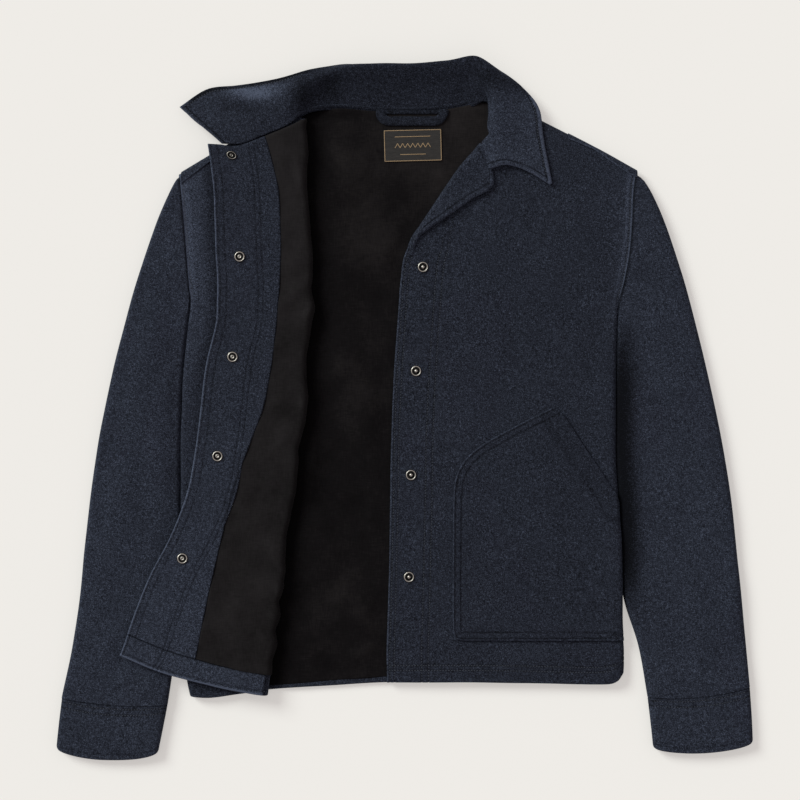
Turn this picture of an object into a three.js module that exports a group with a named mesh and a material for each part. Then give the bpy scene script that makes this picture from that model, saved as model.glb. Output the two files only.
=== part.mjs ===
import * as THREE from 'three';

// An insulated jacket laid on its back, seen from above. X runs to the wearer's left,
// Y towards the collar and Z up, in millimetres. The wearer's left front lies closed over
// the back. The right front is folded open over itself and shows its facing and lining.

// Cloth thicknesses and the space between pieces that meet
const SHELL = 3.6;
const LINING = 1.2;
const FACING = 2;
const COLLAR = 3;
const SLEEVE_WALL = 4.2;
const PATCH = 2.4;
const GAP = 0.3;

// The body is as thick as two rolled edges, and a sleeve a little thicker
const EDGE_RADIUS = 5.5;
const BODY_TOP = 2 * EDGE_RADIUS;
const SLEEVE_RADIUS = 6;
const FOLD_SPACE = 3.7;
const FLAP_DROOP = 0.6;
const BEND_SHARE = 0.4;
const LINING_TUCK = 8;
const FRONT_SAG = 0.9;
const SAG_REACH = 90;
const SEAM_ANGLE = Math.asin(GAP / 2 / EDGE_RADIUS);

// Depths into the cloth from its wool face
const UNDER_LINING = SHELL + GAP;
const FACING_FACE = UNDER_LINING + FACING;
const LINING_FACE = UNDER_LINING + LINING;
const FOLD_REACH = FOLD_SPACE / 2 + LINING_FACE;

const WOOL = new THREE.MeshStandardMaterial({ color: 0x232a38, roughness: 0.95, metalness: 0 });
const LINING_CLOTH = new THREE.MeshStandardMaterial({ color: 0x1d1c1d, roughness: 0.6, metalness: 0 });
const METAL = new THREE.MeshStandardMaterial({ color: 0x8a8782, roughness: 0.35, metalness: 1 });
const LABEL = new THREE.MeshStandardMaterial({ color: 0x22211f, roughness: 0.7, metalness: 0 });

// Where each edge crosses the body, level by level from the hem to the neck
const LEVELS = [
  { y: -345, sideRight: -252.5, flapEdge: -362, facingEdge: -259, fold: -160.5, frontEdge: -20.5, sideLeft: 250 },
  { y: -320, sideRight: -257.7, flapEdge: -351.5, facingEdge: -252.5, fold: -157.5, frontEdge: -21, sideLeft: 256 },
  { y: -290, sideRight: -260.3, flapEdge: -335, facingEdge: -245.5, fold: -153.5, frontEdge: -21.5, sideLeft: 257.4 },
  { y: -250, sideRight: -262.3, flapEdge: -321, facingEdge: -237.5, fold: -148.8, frontEdge: -20.3, sideLeft: 255.2 },
  { y: -200, sideRight: -263.5, flapEdge: -301.5, facingEdge: -226.7, fold: -142.9, frontEdge: -19.1, sideLeft: 254.6 },
  { y: -150, sideRight: -264.4, flapEdge: -275.5, facingEdge: -215, fold: -138, frontEdge: -18, sideLeft: 254.4 },
  { y: -100, sideRight: -265, flapEdge: -256.2, facingEdge: -203, fold: -130, frontEdge: -16.8, sideLeft: 252 },
  { y: -50, sideRight: -265.2, flapEdge: -246.5, facingEdge: -185.8, fold: -123.5, frontEdge: -16.2, sideLeft: 249 },
  { y: 0, sideRight: -263.9, flapEdge: -240, facingEdge: -167, fold: -116.5, frontEdge: -14.6, sideLeft: 249.2 },
  { y: 50, sideRight: -261.5, flapEdge: -234, facingEdge: -157, fold: -115.3, frontEdge: -12, sideLeft: 250.3 },
  { y: 100, sideRight: -257, flapEdge: -222.2, facingEdge: -151, fold: -109.7, frontEdge: -8.6, sideLeft: 251.8 },
  { y: 125, sideRight: -254.3, flapEdge: -220.8, facingEdge: -149, fold: -108, frontEdge: -6.8, sideLeft: 254.2 },
  { y: 150, sideRight: -256.4, flapEdge: -220.4, facingEdge: -147, fold: -108.8, frontEdge: -4.9, sideLeft: 257.7 },
  { y: 185, sideRight: -259.4, flapEdge: -222.5, facingEdge: -145.8, fold: -109.8, frontEdge: 1.5, sideLeft: 262.7 },
  { y: 220, sideRight: -262.3, flapEdge: -223.6, facingEdge: -146.5, fold: -112, frontEdge: 26.4, sideLeft: 267.6 },
  { y: 260, sideRight: -265.7, flapEdge: -225.3, facingEdge: -149.2, fold: -114.4, frontEdge: 53.2, sideLeft: 273.3 },
  { y: 300, sideRight: -269.1, flapEdge: -230.2, facingEdge: -158.5, fold: -115, frontEdge: 83.6, sideLeft: 278.9 },
  { y: 316, sideRight: -270.4, flapEdge: -232.8, facingEdge: -163, fold: -115, frontEdge: 98.5, sideLeft: 281.2 },
  { y: 350, sideRight: -273.3, flapEdge: -238, facingEdge: -174, fold: -114.2, frontEdge: 109, sideLeft: 286 },
];
const UNDERARM = 125;
const SHARED_LEVELS = [-240, -200, -160, -120, -80, -40, 0, 40, 70, 98, 112, UNDERARM, 138, 155, 180, 210, 240];

// Edges that run across the body
const HEM = [
  { x: -262, y: -340 }, { x: -232, y: -342 }, { x: -195, y: -337.5 }, { x: -159, y: -332.5 },
  { x: -88, y: -328 }, { x: -21, y: -324.2 }, { x: 135, y: -324.2 }, { x: 210, y: -326 },
  { x: 240, y: -323.5 }, { x: 260, y: -313 },
];
const BACK_TOP = [
  { x: -272, y: 273 }, { x: -232, y: 297 }, { x: -194, y: 319.5 }, { x: -150, y: 345 },
  { x: -122, y: 357 }, { x: -100, y: 353.6 }, { x: -76, y: 354.9 }, { x: -35, y: 352 },
  { x: 5, y: 351.6 }, { x: 46, y: 353.7 }, { x: 77, y: 359 }, { x: 99, y: 364.5 },
  { x: 115, y: 363.5 }, { x: 161, y: 340 }, { x: 230, y: 304.7 }, { x: 264.6, y: 285.4 },
  { x: 282, y: 275.5 },
];
const BACK_LINING_TOP = [
  { x: -190, y: 310 }, { x: -160, y: 327 }, { x: -120, y: 345 }, { x: -100, y: 348.5 },
  { x: -76, y: 353.4 }, { x: -35, y: 350.8 }, { x: 5, y: 350.4 }, { x: 46, y: 352.5 },
  { x: 77, y: 355.5 }, { x: 97, y: 354.5 }, { x: 120, y: 348 }, { x: 160, y: 328 },
];
const RIGHT_SHOULDER = [
  { x: -272, y: 273 }, { x: -232, y: 297 }, { x: -194, y: 319.5 }, { x: -160, y: 339 },
  { x: -140, y: 347 }, { x: -125, y: 349.3 }, { x: -108, y: 349.6 },
];
const FLAP_NECK = [
  { x: -240, y: 312 }, { x: -215.6, y: 310.6 }, { x: -207.6, y: 309 }, { x: -194.4, y: 310 },
  { x: -175.5, y: 316.5 }, { x: -145.3, y: 328.8 }, { x: -128.3, y: 336.4 },
  { x: -118.9, y: 342.5 }, { x: -113, y: 349.6 },
];
const FLAP_HEM = [
  { x: -352, y: -283.5 }, { x: -335.4, y: -291.2 }, { x: -285.3, y: -311.8 },
  { x: -224, y: -327.7 }, { x: -188.5, y: -334.8 }, { x: -163, y: -338.5 }, { x: -155, y: -334 },
];
const FLAP_BAND = [
  { x: -345, y: -258 }, { x: -325.7, y: -266.4 }, { x: -287.6, y: -282.6 },
  { x: -249, y: -294.7 }, { x: -201.5, y: -307.3 }, { x: -157.8, y: -315.2 }, { x: -140, y: -318 },
];
const BACK_LINING_HEM = [
  { x: -200, y: -330 }, { x: -154, y: -326.6 }, { x: -108, y: -323 }, { x: -53, y: -318.3 },
  { x: 40, y: -313 },
];

// Sleeve rings from the armhole to the cuff: inner and outer edge, and the ring's dip
const LEFT_SLEEVE = [
  { innerX: 254.5, innerY: 125, outerX: 276.3, outerY: 278, dip: 0 },
  { innerX: 254, innerY: 119, outerX: 290.6, outerY: 256.4, dip: 0 },
  { innerX: 253, innerY: 109, outerX: 305.9, outerY: 222.1, dip: 0 },
  { innerX: 252, innerY: 92, outerX: 322.4, outerY: 174.9, dip: 0 },
  { innerX: 251, innerY: 62, outerX: 336.6, outerY: 127.7, dip: 0 },
  { innerX: 250, innerY: 12, outerX: 354.3, outerY: 56.9, dip: 0 },
  { innerX: 249, innerY: -50, outerX: 369.6, outerY: -13.9, dip: 0 },
  { innerX: 252, innerY: -112, outerX: 382.6, outerY: -84.7, dip: 0 },
  { innerX: 254, innerY: -172, outerX: 390.9, outerY: -155.5, dip: 1 },
  { innerX: 260.8, innerY: -226, outerX: 398, outerY: -226.3, dip: 2 },
  { innerX: 273.5, innerY: -281, outerX: 403.5, outerY: -281, dip: 4 },
  { innerX: 287, innerY: -341.5, outerX: 407.9, outerY: -329.8, dip: 6 },
];
const LEFT_CUFF = [
  { innerX: 287.2, innerY: -342.2, outerX: 408.1, outerY: -330.5, dip: 6 },
  { innerX: 290.4, innerY: -371, outerX: 410, outerY: -362, dip: 9 },
  { innerX: 293.4, innerY: -399, outerX: 411.4, outerY: -392.8, dip: 11.5 },
];
const RIGHT_SLEEVE = [
  { innerX: -254.5, innerY: 125, outerX: -267, outerY: 275.5, dip: 0 },
  { innerX: -255, innerY: 119, outerX: -277, outerY: 257.5, dip: 0 },
  { innerX: -256, innerY: 109, outerX: -292.3, outerY: 222.1, dip: 0 },
  { innerX: -258, innerY: 92, outerX: -308.9, outerY: 174.9, dip: 0 },
  { innerX: -261, innerY: 62, outerX: -323, outerY: 127.7, dip: 0 },
  { innerX: -263, innerY: 12, outerX: -341.9, outerY: 56.9, dip: 0 },
  { innerX: -265, innerY: -50, outerX: -357.2, outerY: -13.9, dip: 0 },
  { innerX: -265, innerY: -112, outerX: -369, outerY: -84.7, dip: 0 },
  { innerX: -264, innerY: -172, outerX: -377.3, outerY: -155.5, dip: 1 },
  { innerX: -264.5, innerY: -228, outerX: -384.4, outerY: -226.3, dip: 2 },
  { innerX: -271, innerY: -288, outerX: -393, outerY: -283, dip: 3 },
  { innerX: -280.3, innerY: -350.7, outerX: -405.3, outerY: -342.8, dip: 4.5 },
];
const RIGHT_CUFF = [
  { innerX: -280.5, innerY: -351.4, outerX: -405.5, outerY: -343.5, dip: 4.5 },
  { innerX: -285.5, innerY: -377.5, outerX: -408.6, outerY: -371.5, dip: 9.5 },
  { innerX: -291, innerY: -404.5, outerX: -411.5, outerY: -399.7, dip: 13.5 },
];

// Collar stations from its open right end, round the back neck, to the turned-down left
// leaf: the neck seam, the middle of the stand, the roll and the outer edge
const COLLAR_STATIONS = [
  { seam: [-215.6, 311.6, 19.6], stand: [-232, 326, 19], roll: [-249, 341, 15], edge: [-266, 356, 9] },
  { seam: [-193, 311.6, 19.8], stand: [-207, 332, 20.5], roll: [-220, 353, 17], edge: [-233, 377, 9] },
  { seam: [-164, 322.6, 19.8], stand: [-176, 342, 22], roll: [-188, 361, 19], edge: [-199, 380.5, 10] },
  { seam: [-137, 334.2, 18.6], stand: [-144, 353, 22], roll: [-151, 371, 20.5], edge: [-155, 388.5, 12] },
  { seam: [-113, 351.5, 13.5], stand: [-112, 370, 19], roll: [-110, 387, 21.5], edge: [-105, 401.5, 15] },
  { seam: [-78, 356, 6], stand: [-76, 381, 14], roll: [-74, 401, 20.5], edge: [-72, 407, 7.5] },
  { seam: [-35, 352.6, 4.6], stand: [-35, 381, 13.5], roll: [-34, 405, 20.5], edge: [-34, 404, 5] },
  { seam: [5, 352.2, 4.6], stand: [5, 381, 13.5], roll: [5, 405, 20.5], edge: [5, 404, 5] },
  { seam: [46, 354.5, 4.8], stand: [48, 383, 14], roll: [48, 408, 21], edge: [52, 407, 6] },
  { seam: [77, 360.5, 6.5], stand: [82, 388, 16], roll: [86, 411, 22], edge: [100, 407, 9] },
  { seam: [97, 366.5, 10], stand: [95, 376, 17], roll: [101, 391, 23], edge: [138, 381, 13.5] },
  { seam: [103.5, 348, 10.5], stand: [98.5, 349, 15.5], roll: [108, 353, 21], edge: [157, 352, 14.6] },
  { seam: [102.5, 329, 11.5], stand: [97.8, 329, 16], roll: [107, 329, 20.3], edge: [161, 325, 14.6] },
  { seam: [93, 313.5, 14.8], stand: [107, 310, 17.5], roll: [137, 304, 16.5], edge: [166, 298, 14.6] },
  { seam: [101.6, 284.4, 14.7], stand: [119, 288.5, 16], roll: [145, 281, 15.6], edge: [172.4, 264.6, 14.6] },
];
const COLLAR_ROUNDS = [0, 0.13, 0.26, 0.4, 0.54, 0.64, 0.72, 0.8, 0.88, 1];

// The lapel's roll and its outer edge, from the lowest point of the turn up to the gorge
const LAPEL_STATIONS = [
  { roll: [10.5, 204], edge: [15, 206.5] },
  { roll: [19, 216], edge: [30, 215.6] },
  { roll: [38, 244.5], edge: [58, 234.5] },
  { roll: [57, 273], edge: [80, 249.5] },
  { roll: [75, 296], edge: [102, 263.5] },
  { roll: [90.3, 311.3], edge: [100.4, 283.3] },
];

// Patch pocket on the left front: its inner edge, and how far down the slanted mouth is
const POCKET_EDGE = [
  { y: -273, x: 60 }, { y: -262, x: 57.2 }, { y: -142, x: 57.2 }, { y: -108, x: 57.8 },
  { y: -84, x: 60 }, { y: -62, x: 70.5 }, { y: -44, x: 90.5 }, { y: -27, x: 120 },
  { y: -11, x: 151 }, { y: 1, x: 176 },
];
const POCKET_MOUTH = [
  { x: 176, y: 1.4 }, { x: 185.6, y: -6.8 }, { x: 210.7, y: -44.5 }, { x: 235.9, y: -82.3 },
  { x: 252.2, y: -110.2 }, { x: 256, y: -133 },
];
const POCKET_BOTTOM = -274;

// Press fasteners, 13 mm across: studs on the left front, sockets on the turned-back facing
const SNAP_RADIUS = 6.5;
const SNAP_SEGMENTS = 14;
const STUDS = [{ x: 21.5, y: 166.7 }, { x: 13.3, y: 44 }, { x: 7.4, y: -78.8 }, { x: 5, y: -199.1 }];
const SOCKETS = [
  { x: -203.8, y: 297.7 }, { x: -194.4, y: 178.5 }, { x: -202.7, y: 60.5 },
  { x: -220.4, y: -56.3 }, { x: -261.7, y: -176.7 },
];
const STUD_PROFILE = [[0, 0], [6.5, 0], [6.5, 0.8], [5.7, 1.5], [4.1, 1.5], [3.6, 0.9],
  [2.2, 0.9], [2.2, 2.5], [1.4, 3], [0, 3]];
const SOCKET_PROFILE = [[0, 0], [6.5, 0], [6.5, 1], [5.7, 1.8], [3.5, 1.8], [2.8, 1.2], [2.8, 0.7], [0, 0.7]];
const CAP_PROFILE = [[0, -1.3], [5, -1.1], [6.5, -0.4], [6.5, 0], [0, 0]];

// Neck label and hanger loop
const LABEL_SIZE = { width: 68.4, height: 37.8, thickness: 0.8, x: 9.6, y: 310.5, turn: 0.025 };
const LOOP = { left: -33.4, right: 51.2, top: 350.8, bottom: 333.3, corner: 10, thickness: 2.4 };
const LOOP_SLOT = { left: -20.9, right: 41.6, top: 346.7, bottom: 343.6 };

// Smooth curve through a table's column, straight past its ends
function sample(table, key, value, column) {
  const rising = table[table.length - 1][key] > table[0][key];
  let i = 0;
  while (i < table.length - 2 && (rising ? table[i + 1][key] < value : table[i + 1][key] > value)) i += 1;
  const from = table[i];
  const to = table[i + 1];
  const before = table[Math.max(i - 1, 0)];
  const after = table[Math.min(i + 2, table.length - 1)];
  const span = to[key] - from[key];
  const t = THREE.MathUtils.clamp((value - from[key]) / span, -0.5, 1.5);
  const startSlope = ((to[column] - before[column]) / (to[key] - before[key])) * span;
  const endSlope = ((after[column] - from[column]) / (after[key] - from[key])) * span;
  const t2 = t * t;
  const t3 = t2 * t;
  return (2 * t3 - 3 * t2 + 1) * from[column] + (t3 - 2 * t2 + t) * startSlope
    + (3 * t2 - 2 * t3) * to[column] + (t3 - t2) * endSlope;
}

const level = (y, column) => sample(LEVELS, 'y', y, column);
const across = (table, x) => sample(table, 'x', x, 'y');
const mix = THREE.MathUtils.lerp;
const steps = (count) => Array.from({ length: count + 1 }, (_, i) => i / count);
const columnsOf = (zone, count) => steps(count).map((t) => ({ zone, t }));

// The level at which a column, whose place is x(y), reaches a cross edge
function meet(columnX, table, start) {
  let y = start;
  for (let i = 0; i < 12; i += 1) y = across(table, columnX(y));
  return y;
}

// A closed solid between two grids of points, whose rows may close on themselves
function shellBetween(outer, inner, around = false) {
  const rows = outer.length;
  const columns = outer[0].length;
  const positions = [];
  for (const grid of [outer, inner]) {
    for (const row of grid) for (const point of row) positions.push(point.x, point.y, point.z);
  }
  const at = (layer, i, j) => layer * rows * columns + i * columns + (j % columns);
  const index = [];
  const quad = (a, b, c, d) => index.push(a, b, c, a, c, d);
  const spans = around ? columns : columns - 1;
  for (let i = 0; i < rows - 1; i += 1) {
    for (let j = 0; j < spans; j += 1) {
      quad(at(0, i, j), at(0, i, j + 1), at(0, i + 1, j + 1), at(0, i + 1, j));
      quad(at(1, i, j), at(1, i + 1, j), at(1, i + 1, j + 1), at(1, i, j + 1));
    }
  }
  for (let j = 0; j < spans; j += 1) {
    quad(at(0, 0, j), at(1, 0, j), at(1, 0, j + 1), at(0, 0, j + 1));
    quad(at(0, rows - 1, j), at(0, rows - 1, j + 1), at(1, rows - 1, j + 1), at(1, rows - 1, j));
  }
  if (!around) {
    for (let i = 0; i < rows - 1; i += 1) {
      quad(at(0, i, 0), at(0, i + 1, 0), at(1, i + 1, 0), at(1, i, 0));
      quad(at(0, i, columns - 1), at(1, i, columns - 1), at(1, i + 1, columns - 1), at(0, i + 1, columns - 1));
    }
  }
  const geometry = new THREE.BufferGeometry();
  geometry.setAttribute('position', new THREE.Float32BufferAttribute(positions, 3));
  geometry.setIndex(volumeOf(positions, index) < 0 ? index.reverse() : index);
  geometry.computeVertexNormals();
  return geometry;
}

// Signed volume of a triangle mesh, negative where its faces point inwards
function volumeOf(positions, index) {
  const corner = (i) => new THREE.Vector3().fromArray(positions, 3 * index[i]);
  let volume = 0;
  for (let i = 0; i < index.length; i += 3) {
    volume += corner(i).dot(corner(i + 1).cross(corner(i + 2))) / 6;
  }
  return volume;
}

// How far a point of a row may be moved along its normal before a bend there closes on itself
function bendLimit(row, j, normal, distance) {
  if (j === 0 || j === row.length - 1) return distance;
  const before = row[j].clone().sub(row[j - 1]);
  const after = row[j + 1].clone().sub(row[j]);
  const radius = (before.length() + after.length()) / 2 / Math.max(before.angleTo(after), 1e-6);
  const closing = after.normalize().sub(before.normalize()).dot(normal) > 0;
  return closing ? Math.min(distance, BEND_SHARE * radius) : distance;
}

// Each point of a grid moved along the surface's own normal, and less near a tight bend
function movedOut(grid, distance) {
  const rows = grid.length;
  return grid.map((row, i) => {
    const last = row.length - 1;
    const normals = row.map((point, j) => {
      const alongRows = grid[Math.min(i + 1, rows - 1)][j].clone().sub(grid[Math.max(i - 1, 0)][j]);
      const alongRow = row[Math.min(j + 1, last)].clone().sub(row[Math.max(j - 1, 0)]);
      return alongRow.cross(alongRows).normalize();
    });
    const limits = row.map((point, j) => bendLimit(row, j, normals[j], distance));
    return row.map((point, j) => {
      const reach = Math.min(...limits.map((limit, k) => limit + BEND_SHARE * point.distanceTo(row[k])));
      return point.clone().addScaledVector(normals[j], reach);
    });
  });
}

// Share of the side roll at a level: the armhole stays open and the side seam is rolled
const sideRoll = (y) => 1 - THREE.MathUtils.smoothstep(y, UNDERARM - 12, UNDERARM + 14);

// A quarter turn at a side seam. turn is 1 on a front, which rolls down, and -1 on the back
function rolledSide(side, edge, t, y, depth, turn) {
  const angle = mix(SEAM_ANGLE, Math.PI / 2, t);
  const radius = EDGE_RADIUS - depth;
  const share = sideRoll(y);
  const flatX = EDGE_RADIUS * (1 - t);
  const flatZ = turn * radius;
  return {
    x: edge - side * EDGE_RADIUS + side * mix(flatX, radius * Math.cos(angle), share),
    z: EDGE_RADIUS + mix(flatZ, turn * radius * Math.sin(angle), share),
  };
}

// Section of the back at a level: rolled right side, flat, rolled left side
function backAcross({ zone, t }, y, depth) {
  const right = level(y, 'sideRight');
  const left = level(y, 'sideLeft');
  if (zone === 'rightRoll') return rolledSide(-1, right, t, y, depth, -1);
  if (zone === 'leftRoll') return rolledSide(1, left, 1 - t, y, depth, -1);
  if (zone === 'open') {
    return { x: mix(level(y, 'fold') - 40, level(y, 'frontEdge') + 45, t), z: depth };
  }
  return { x: mix(right + EDGE_RADIUS, left - EDGE_RADIUS, t), z: depth };
}

// Section of the left front: free edge, flat, rolled side
function leftFrontAcross({ zone, t }, y, depth) {
  const left = level(y, 'sideLeft');
  if (zone === 'leftRoll') return rolledSide(1, left, 1 - t, y, depth, 1);
  const edge = level(y, 'frontEdge');
  const x = mix(edge, left - EDGE_RADIUS, t);
  return { x, z: leftFrontHeight(x, y) - depth };
}

function leftFrontHeight(x, y) {
  const nearEdge = 1 - THREE.MathUtils.smoothstep(x - level(y, 'frontEdge'), 0, SAG_REACH);
  return BODY_TOP - FRONT_SAG * nearEdge;
}

// Section of the right front: rolled side, lower leg, fold, upper leg up to the free edge
function rightFrontAcross({ zone, t }, y, depth) {
  const right = level(y, 'sideRight');
  const bendX = level(y, 'fold') - FOLD_REACH;
  const radius = FOLD_SPACE / 2 + depth;
  if (zone === 'rightRoll') return rolledSide(-1, right, t, y, depth, 1);
  if (zone === 'lower') return { x: mix(right + EDGE_RADIUS, bendX, t), z: BODY_TOP - depth };
  if (zone === 'bend') {
    const angle = mix(-Math.PI / 2, Math.PI / 2, t);
    return {
      x: bendX + radius * Math.cos(angle),
      z: BODY_TOP + FOLD_SPACE / 2 + radius * Math.sin(angle),
    };
  }
  const facingX = level(y, 'facingEdge');
  const edgeX = level(y, 'flapEdge');
  let x = mix(bendX, edgeX, t);
  if (zone === 'facing') x = mix(facingX, edgeX, t);
  if (zone === 'lined') x = mix(bendX, facingX + GAP, t);
  if (zone === 'tucked') x = mix(bendX - LINING_TUCK, bendX, t);
  if (zone === 'tucked') return { x, z: BODY_TOP - depth };
  return { x, z: flapHeight(x, y, depth) };
}

function flapHeight(x, y, depth) {
  const bendX = level(y, 'fold') - FOLD_REACH;
  const out = (bendX - x) / (bendX - level(y, 'flapEdge'));
  return BODY_TOP + FOLD_SPACE + depth - FLAP_DROOP * THREE.MathUtils.smoothstep(out, 0.15, 1);
}

// A point of a panel. Rows start at its bottom edge, follow the shared levels, go on to its
// top edge and end in a quarter turn, whose share is nothing where the edge isn't rolled
function panelPoint(panel, column, row, depth) {
  const columnX = (y) => panel.section(column, y, 0).x;
  const bottom = meet(columnX, panel.bottom(column), -320);
  const topTable = panel.top(column);
  const top = meet(columnX, topTable, 320);
  const share = panel.rolled(columnX(top), column);
  const baseY = top - panel.lead - EDGE_RADIUS;
  if (row.zone !== 'round') {
    let y = row.y;
    if (row.zone === 'below') y = mix(bottom + panel.lead, SHARED_LEVELS[0], row.t);
    if (row.zone === 'above') y = mix(SHARED_LEVELS[SHARED_LEVELS.length - 1], baseY, row.t);
    if (row.zone === 'whole') y = mix(bottom + panel.lead, baseY, row.t);
    const { x, z } = panel.section(column, y, depth);
    return new THREE.Vector3(x, y, z);
  }
  const { z } = panel.section(column, baseY, depth);
  const angle = row.t * (Math.PI / 2 - SEAM_ANGLE);
  const radius = EDGE_RADIUS - depth;
  const reach = mix(EDGE_RADIUS * row.t, radius * Math.sin(angle), share);
  const height = mix(z, EDGE_RADIUS + panel.turn * radius * Math.cos(angle), share);
  return new THREE.Vector3(panel.section(column, baseY + reach, depth).x, baseY + reach, height);
}

// Rows of a whole panel, with steps for the quarter turn, and rows of a narrow band
function panelRows(round) {
  return [...columnsOf('below', 2).slice(0, -1), ...SHARED_LEVELS.map((y) => ({ zone: 'level', y })),
    ...columnsOf('above', 3).slice(1), ...columnsOf('round', round).slice(1)];
}

const BAND_ROWS = [...columnsOf('whole', 1), { zone: 'round', t: 1 }];

function panelGrid(panel, columns, rows, depth) {
  return rows.map((row) => columns.map((column) => panelPoint(panel, column, row, depth)));
}

function panelSolid(panel, columns, rows, outerDepth, innerDepth) {
  return shellBetween(panelGrid(panel, columns, rows, outerDepth), panelGrid(panel, columns, rows, innerDepth));
}

const shoulderShare = (x) => THREE.MathUtils.smoothstep(Math.abs(x - (x > 0 ? 4 : -20)), 98, 112);

const backPanel = {
  section: backAcross, bottom: () => HEM, top: () => BACK_TOP, turn: -1, lead: 0,
  rolled: (x) => shoulderShare(x),
};
const backLiningPanel = {
  ...backPanel, bottom: () => BACK_LINING_HEM, top: () => BACK_LINING_TOP, rolled: () => 0,
};
const leftFrontPanel = {
  section: leftFrontAcross, bottom: () => HEM, top: () => BACK_TOP, turn: 1, lead: 0, rolled: () => 1,
};
const isFlap = ({ zone }) => zone === 'upper' || zone === 'facing' || zone === 'lined' || zone === 'bend';
const rightFrontPanel = {
  section: rightFrontAcross,
  bottom: (column) => (isFlap(column) ? FLAP_HEM : HEM),
  top: (column) => (isFlap(column) ? FLAP_NECK : RIGHT_SHOULDER),
  turn: 1,
  lead: 0,
  rolled: (x, column) => (isFlap(column) ? 0 : 1 - THREE.MathUtils.smoothstep(x, -155, -134)),
};
const flapBandPanel = { ...rightFrontPanel, top: () => FLAP_BAND, lead: GAP, rolled: () => 0 };
const linedPanel = { ...rightFrontPanel, bottom: () => FLAP_BAND, lead: GAP, rolled: () => 0 };

const jacket = new THREE.Group();

function add(name, geometry, material) {
  const mesh = new THREE.Mesh(geometry, material);
  mesh.name = name;
  jacket.add(mesh);
  return mesh;
}

// Back, with its sides and shoulders rolled up to the seams
const backColumns = [...columnsOf('rightRoll', 3), ...columnsOf('flat', 17).slice(1, -1), ...columnsOf('leftRoll', 3)];
add('back', panelSolid(backPanel, backColumns, panelRows(3), 0, SHELL), WOOL);

// Lining of the back, as far as it can be seen between the open fronts
add('back_lining', panelSolid(backLiningPanel, columnsOf('open', 8), panelRows(1), UNDER_LINING, LINING_FACE),
  LINING_CLOTH);

// Left front, from its free edge to the side seam
const leftFrontColumns = [...columnsOf('flat', 11).slice(0, -1), ...columnsOf('leftRoll', 3)];
add('front_left', panelSolid(leftFrontPanel, leftFrontColumns, panelRows(3), 0, SHELL), WOOL);

// Right front, folded open over itself in one piece
const rightFrontColumns = [...columnsOf('rightRoll', 3), ...columnsOf('lower', 6).slice(1, -1),
  ...columnsOf('bend', 6), ...columnsOf('upper', 8).slice(1)];
add('front_right', panelSolid(rightFrontPanel, rightFrontColumns, panelRows(3), 0, SHELL), WOOL);

// What shows on the turned-back front: its facing, its lining round the fold and its hem
add('facing_right', panelSolid(linedPanel, columnsOf('facing', 5), panelRows(1), UNDER_LINING, FACING_FACE), WOOL);
const linedColumns = [...columnsOf('tucked', 1), ...columnsOf('bend', 6).slice(1), ...columnsOf('lined', 5).slice(1)];
add('lining_right', panelSolid(linedPanel, linedColumns, panelRows(1), UNDER_LINING, LINING_FACE), LINING_CLOTH);
add('hem_facing_right', panelSolid(flapBandPanel, columnsOf('upper', 10), BAND_ROWS, UNDER_LINING, FACING_FACE), WOOL);

// One ring of a flattened sleeve, as a stadium between its inner and outer edges
const CAP_ANGLES = [-90, -45, 0, 45, 90];
const WALL_STEPS = [0.2, 0.4, 0.6, 0.8];

function sleeveRing(row, side, edge, onSeam, depth) {
  const innerX = side * Math.max(side * row.innerX, side * level(row.innerY, edge) + GAP);
  const inner = new THREE.Vector2(innerX, row.innerY);
  const outer = new THREE.Vector2(row.outerX, row.outerY);
  const along = outer.clone().sub(inner);
  const length = along.length();
  along.normalize();
  const down = new THREE.Vector2(along.y, -along.x).multiplyScalar(side);
  const radius = SLEEVE_RADIUS - depth;
  const point = (distance, z) => {
    const share = THREE.MathUtils.clamp(distance / length, 0, 1);
    const place = inner.clone().addScaledVector(along, distance)
      .addScaledVector(down, row.dip * 4 * share * (1 - share));
    const seam = side * level(place.y, edge) + GAP;
    const reach = onSeam ? seam : Math.max(side * place.x, seam);
    return new THREE.Vector3(side * reach, place.y, z);
  };
  const wall = (share, z) => point(mix(SLEEVE_RADIUS, length - SLEEVE_RADIUS, share), z);
  const cap = (centre, direction, degrees) => {
    const angle = THREE.MathUtils.degToRad(degrees);
    return point(centre + direction * radius * Math.cos(angle), SLEEVE_RADIUS + radius * Math.sin(angle));
  };
  return [
    ...CAP_ANGLES.map((degrees) => cap(length - SLEEVE_RADIUS, 1, degrees)),
    ...WALL_STEPS.map((share) => wall(1 - share, SLEEVE_RADIUS + radius)),
    ...CAP_ANGLES.map((degrees) => cap(SLEEVE_RADIUS, -1, -degrees)),
    ...WALL_STEPS.map((share) => wall(share, SLEEVE_RADIUS - radius)),
  ];
}

// A sleeve or cuff. A sleeve's first ring lies along the armhole, and no ring crosses the side
function sleeveSolid(table, side, edge, fromArmhole) {
  const grid = (depth) => table.map((row, i) => sleeveRing(row, side, edge, fromArmhole && i === 0, depth));
  return shellBetween(grid(0), grid(SLEEVE_WALL), true);
}

add('sleeve_left', sleeveSolid(LEFT_SLEEVE, 1, 'sideLeft', true), WOOL);
add('sleeve_right', sleeveSolid(RIGHT_SLEEVE, -1, 'sideRight', true), WOOL);
add('cuff_left', sleeveSolid(LEFT_CUFF, 1, 'sideLeft', false), WOOL);
add('cuff_right', sleeveSolid(RIGHT_CUFF, -1, 'sideRight', false), WOOL);

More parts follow.
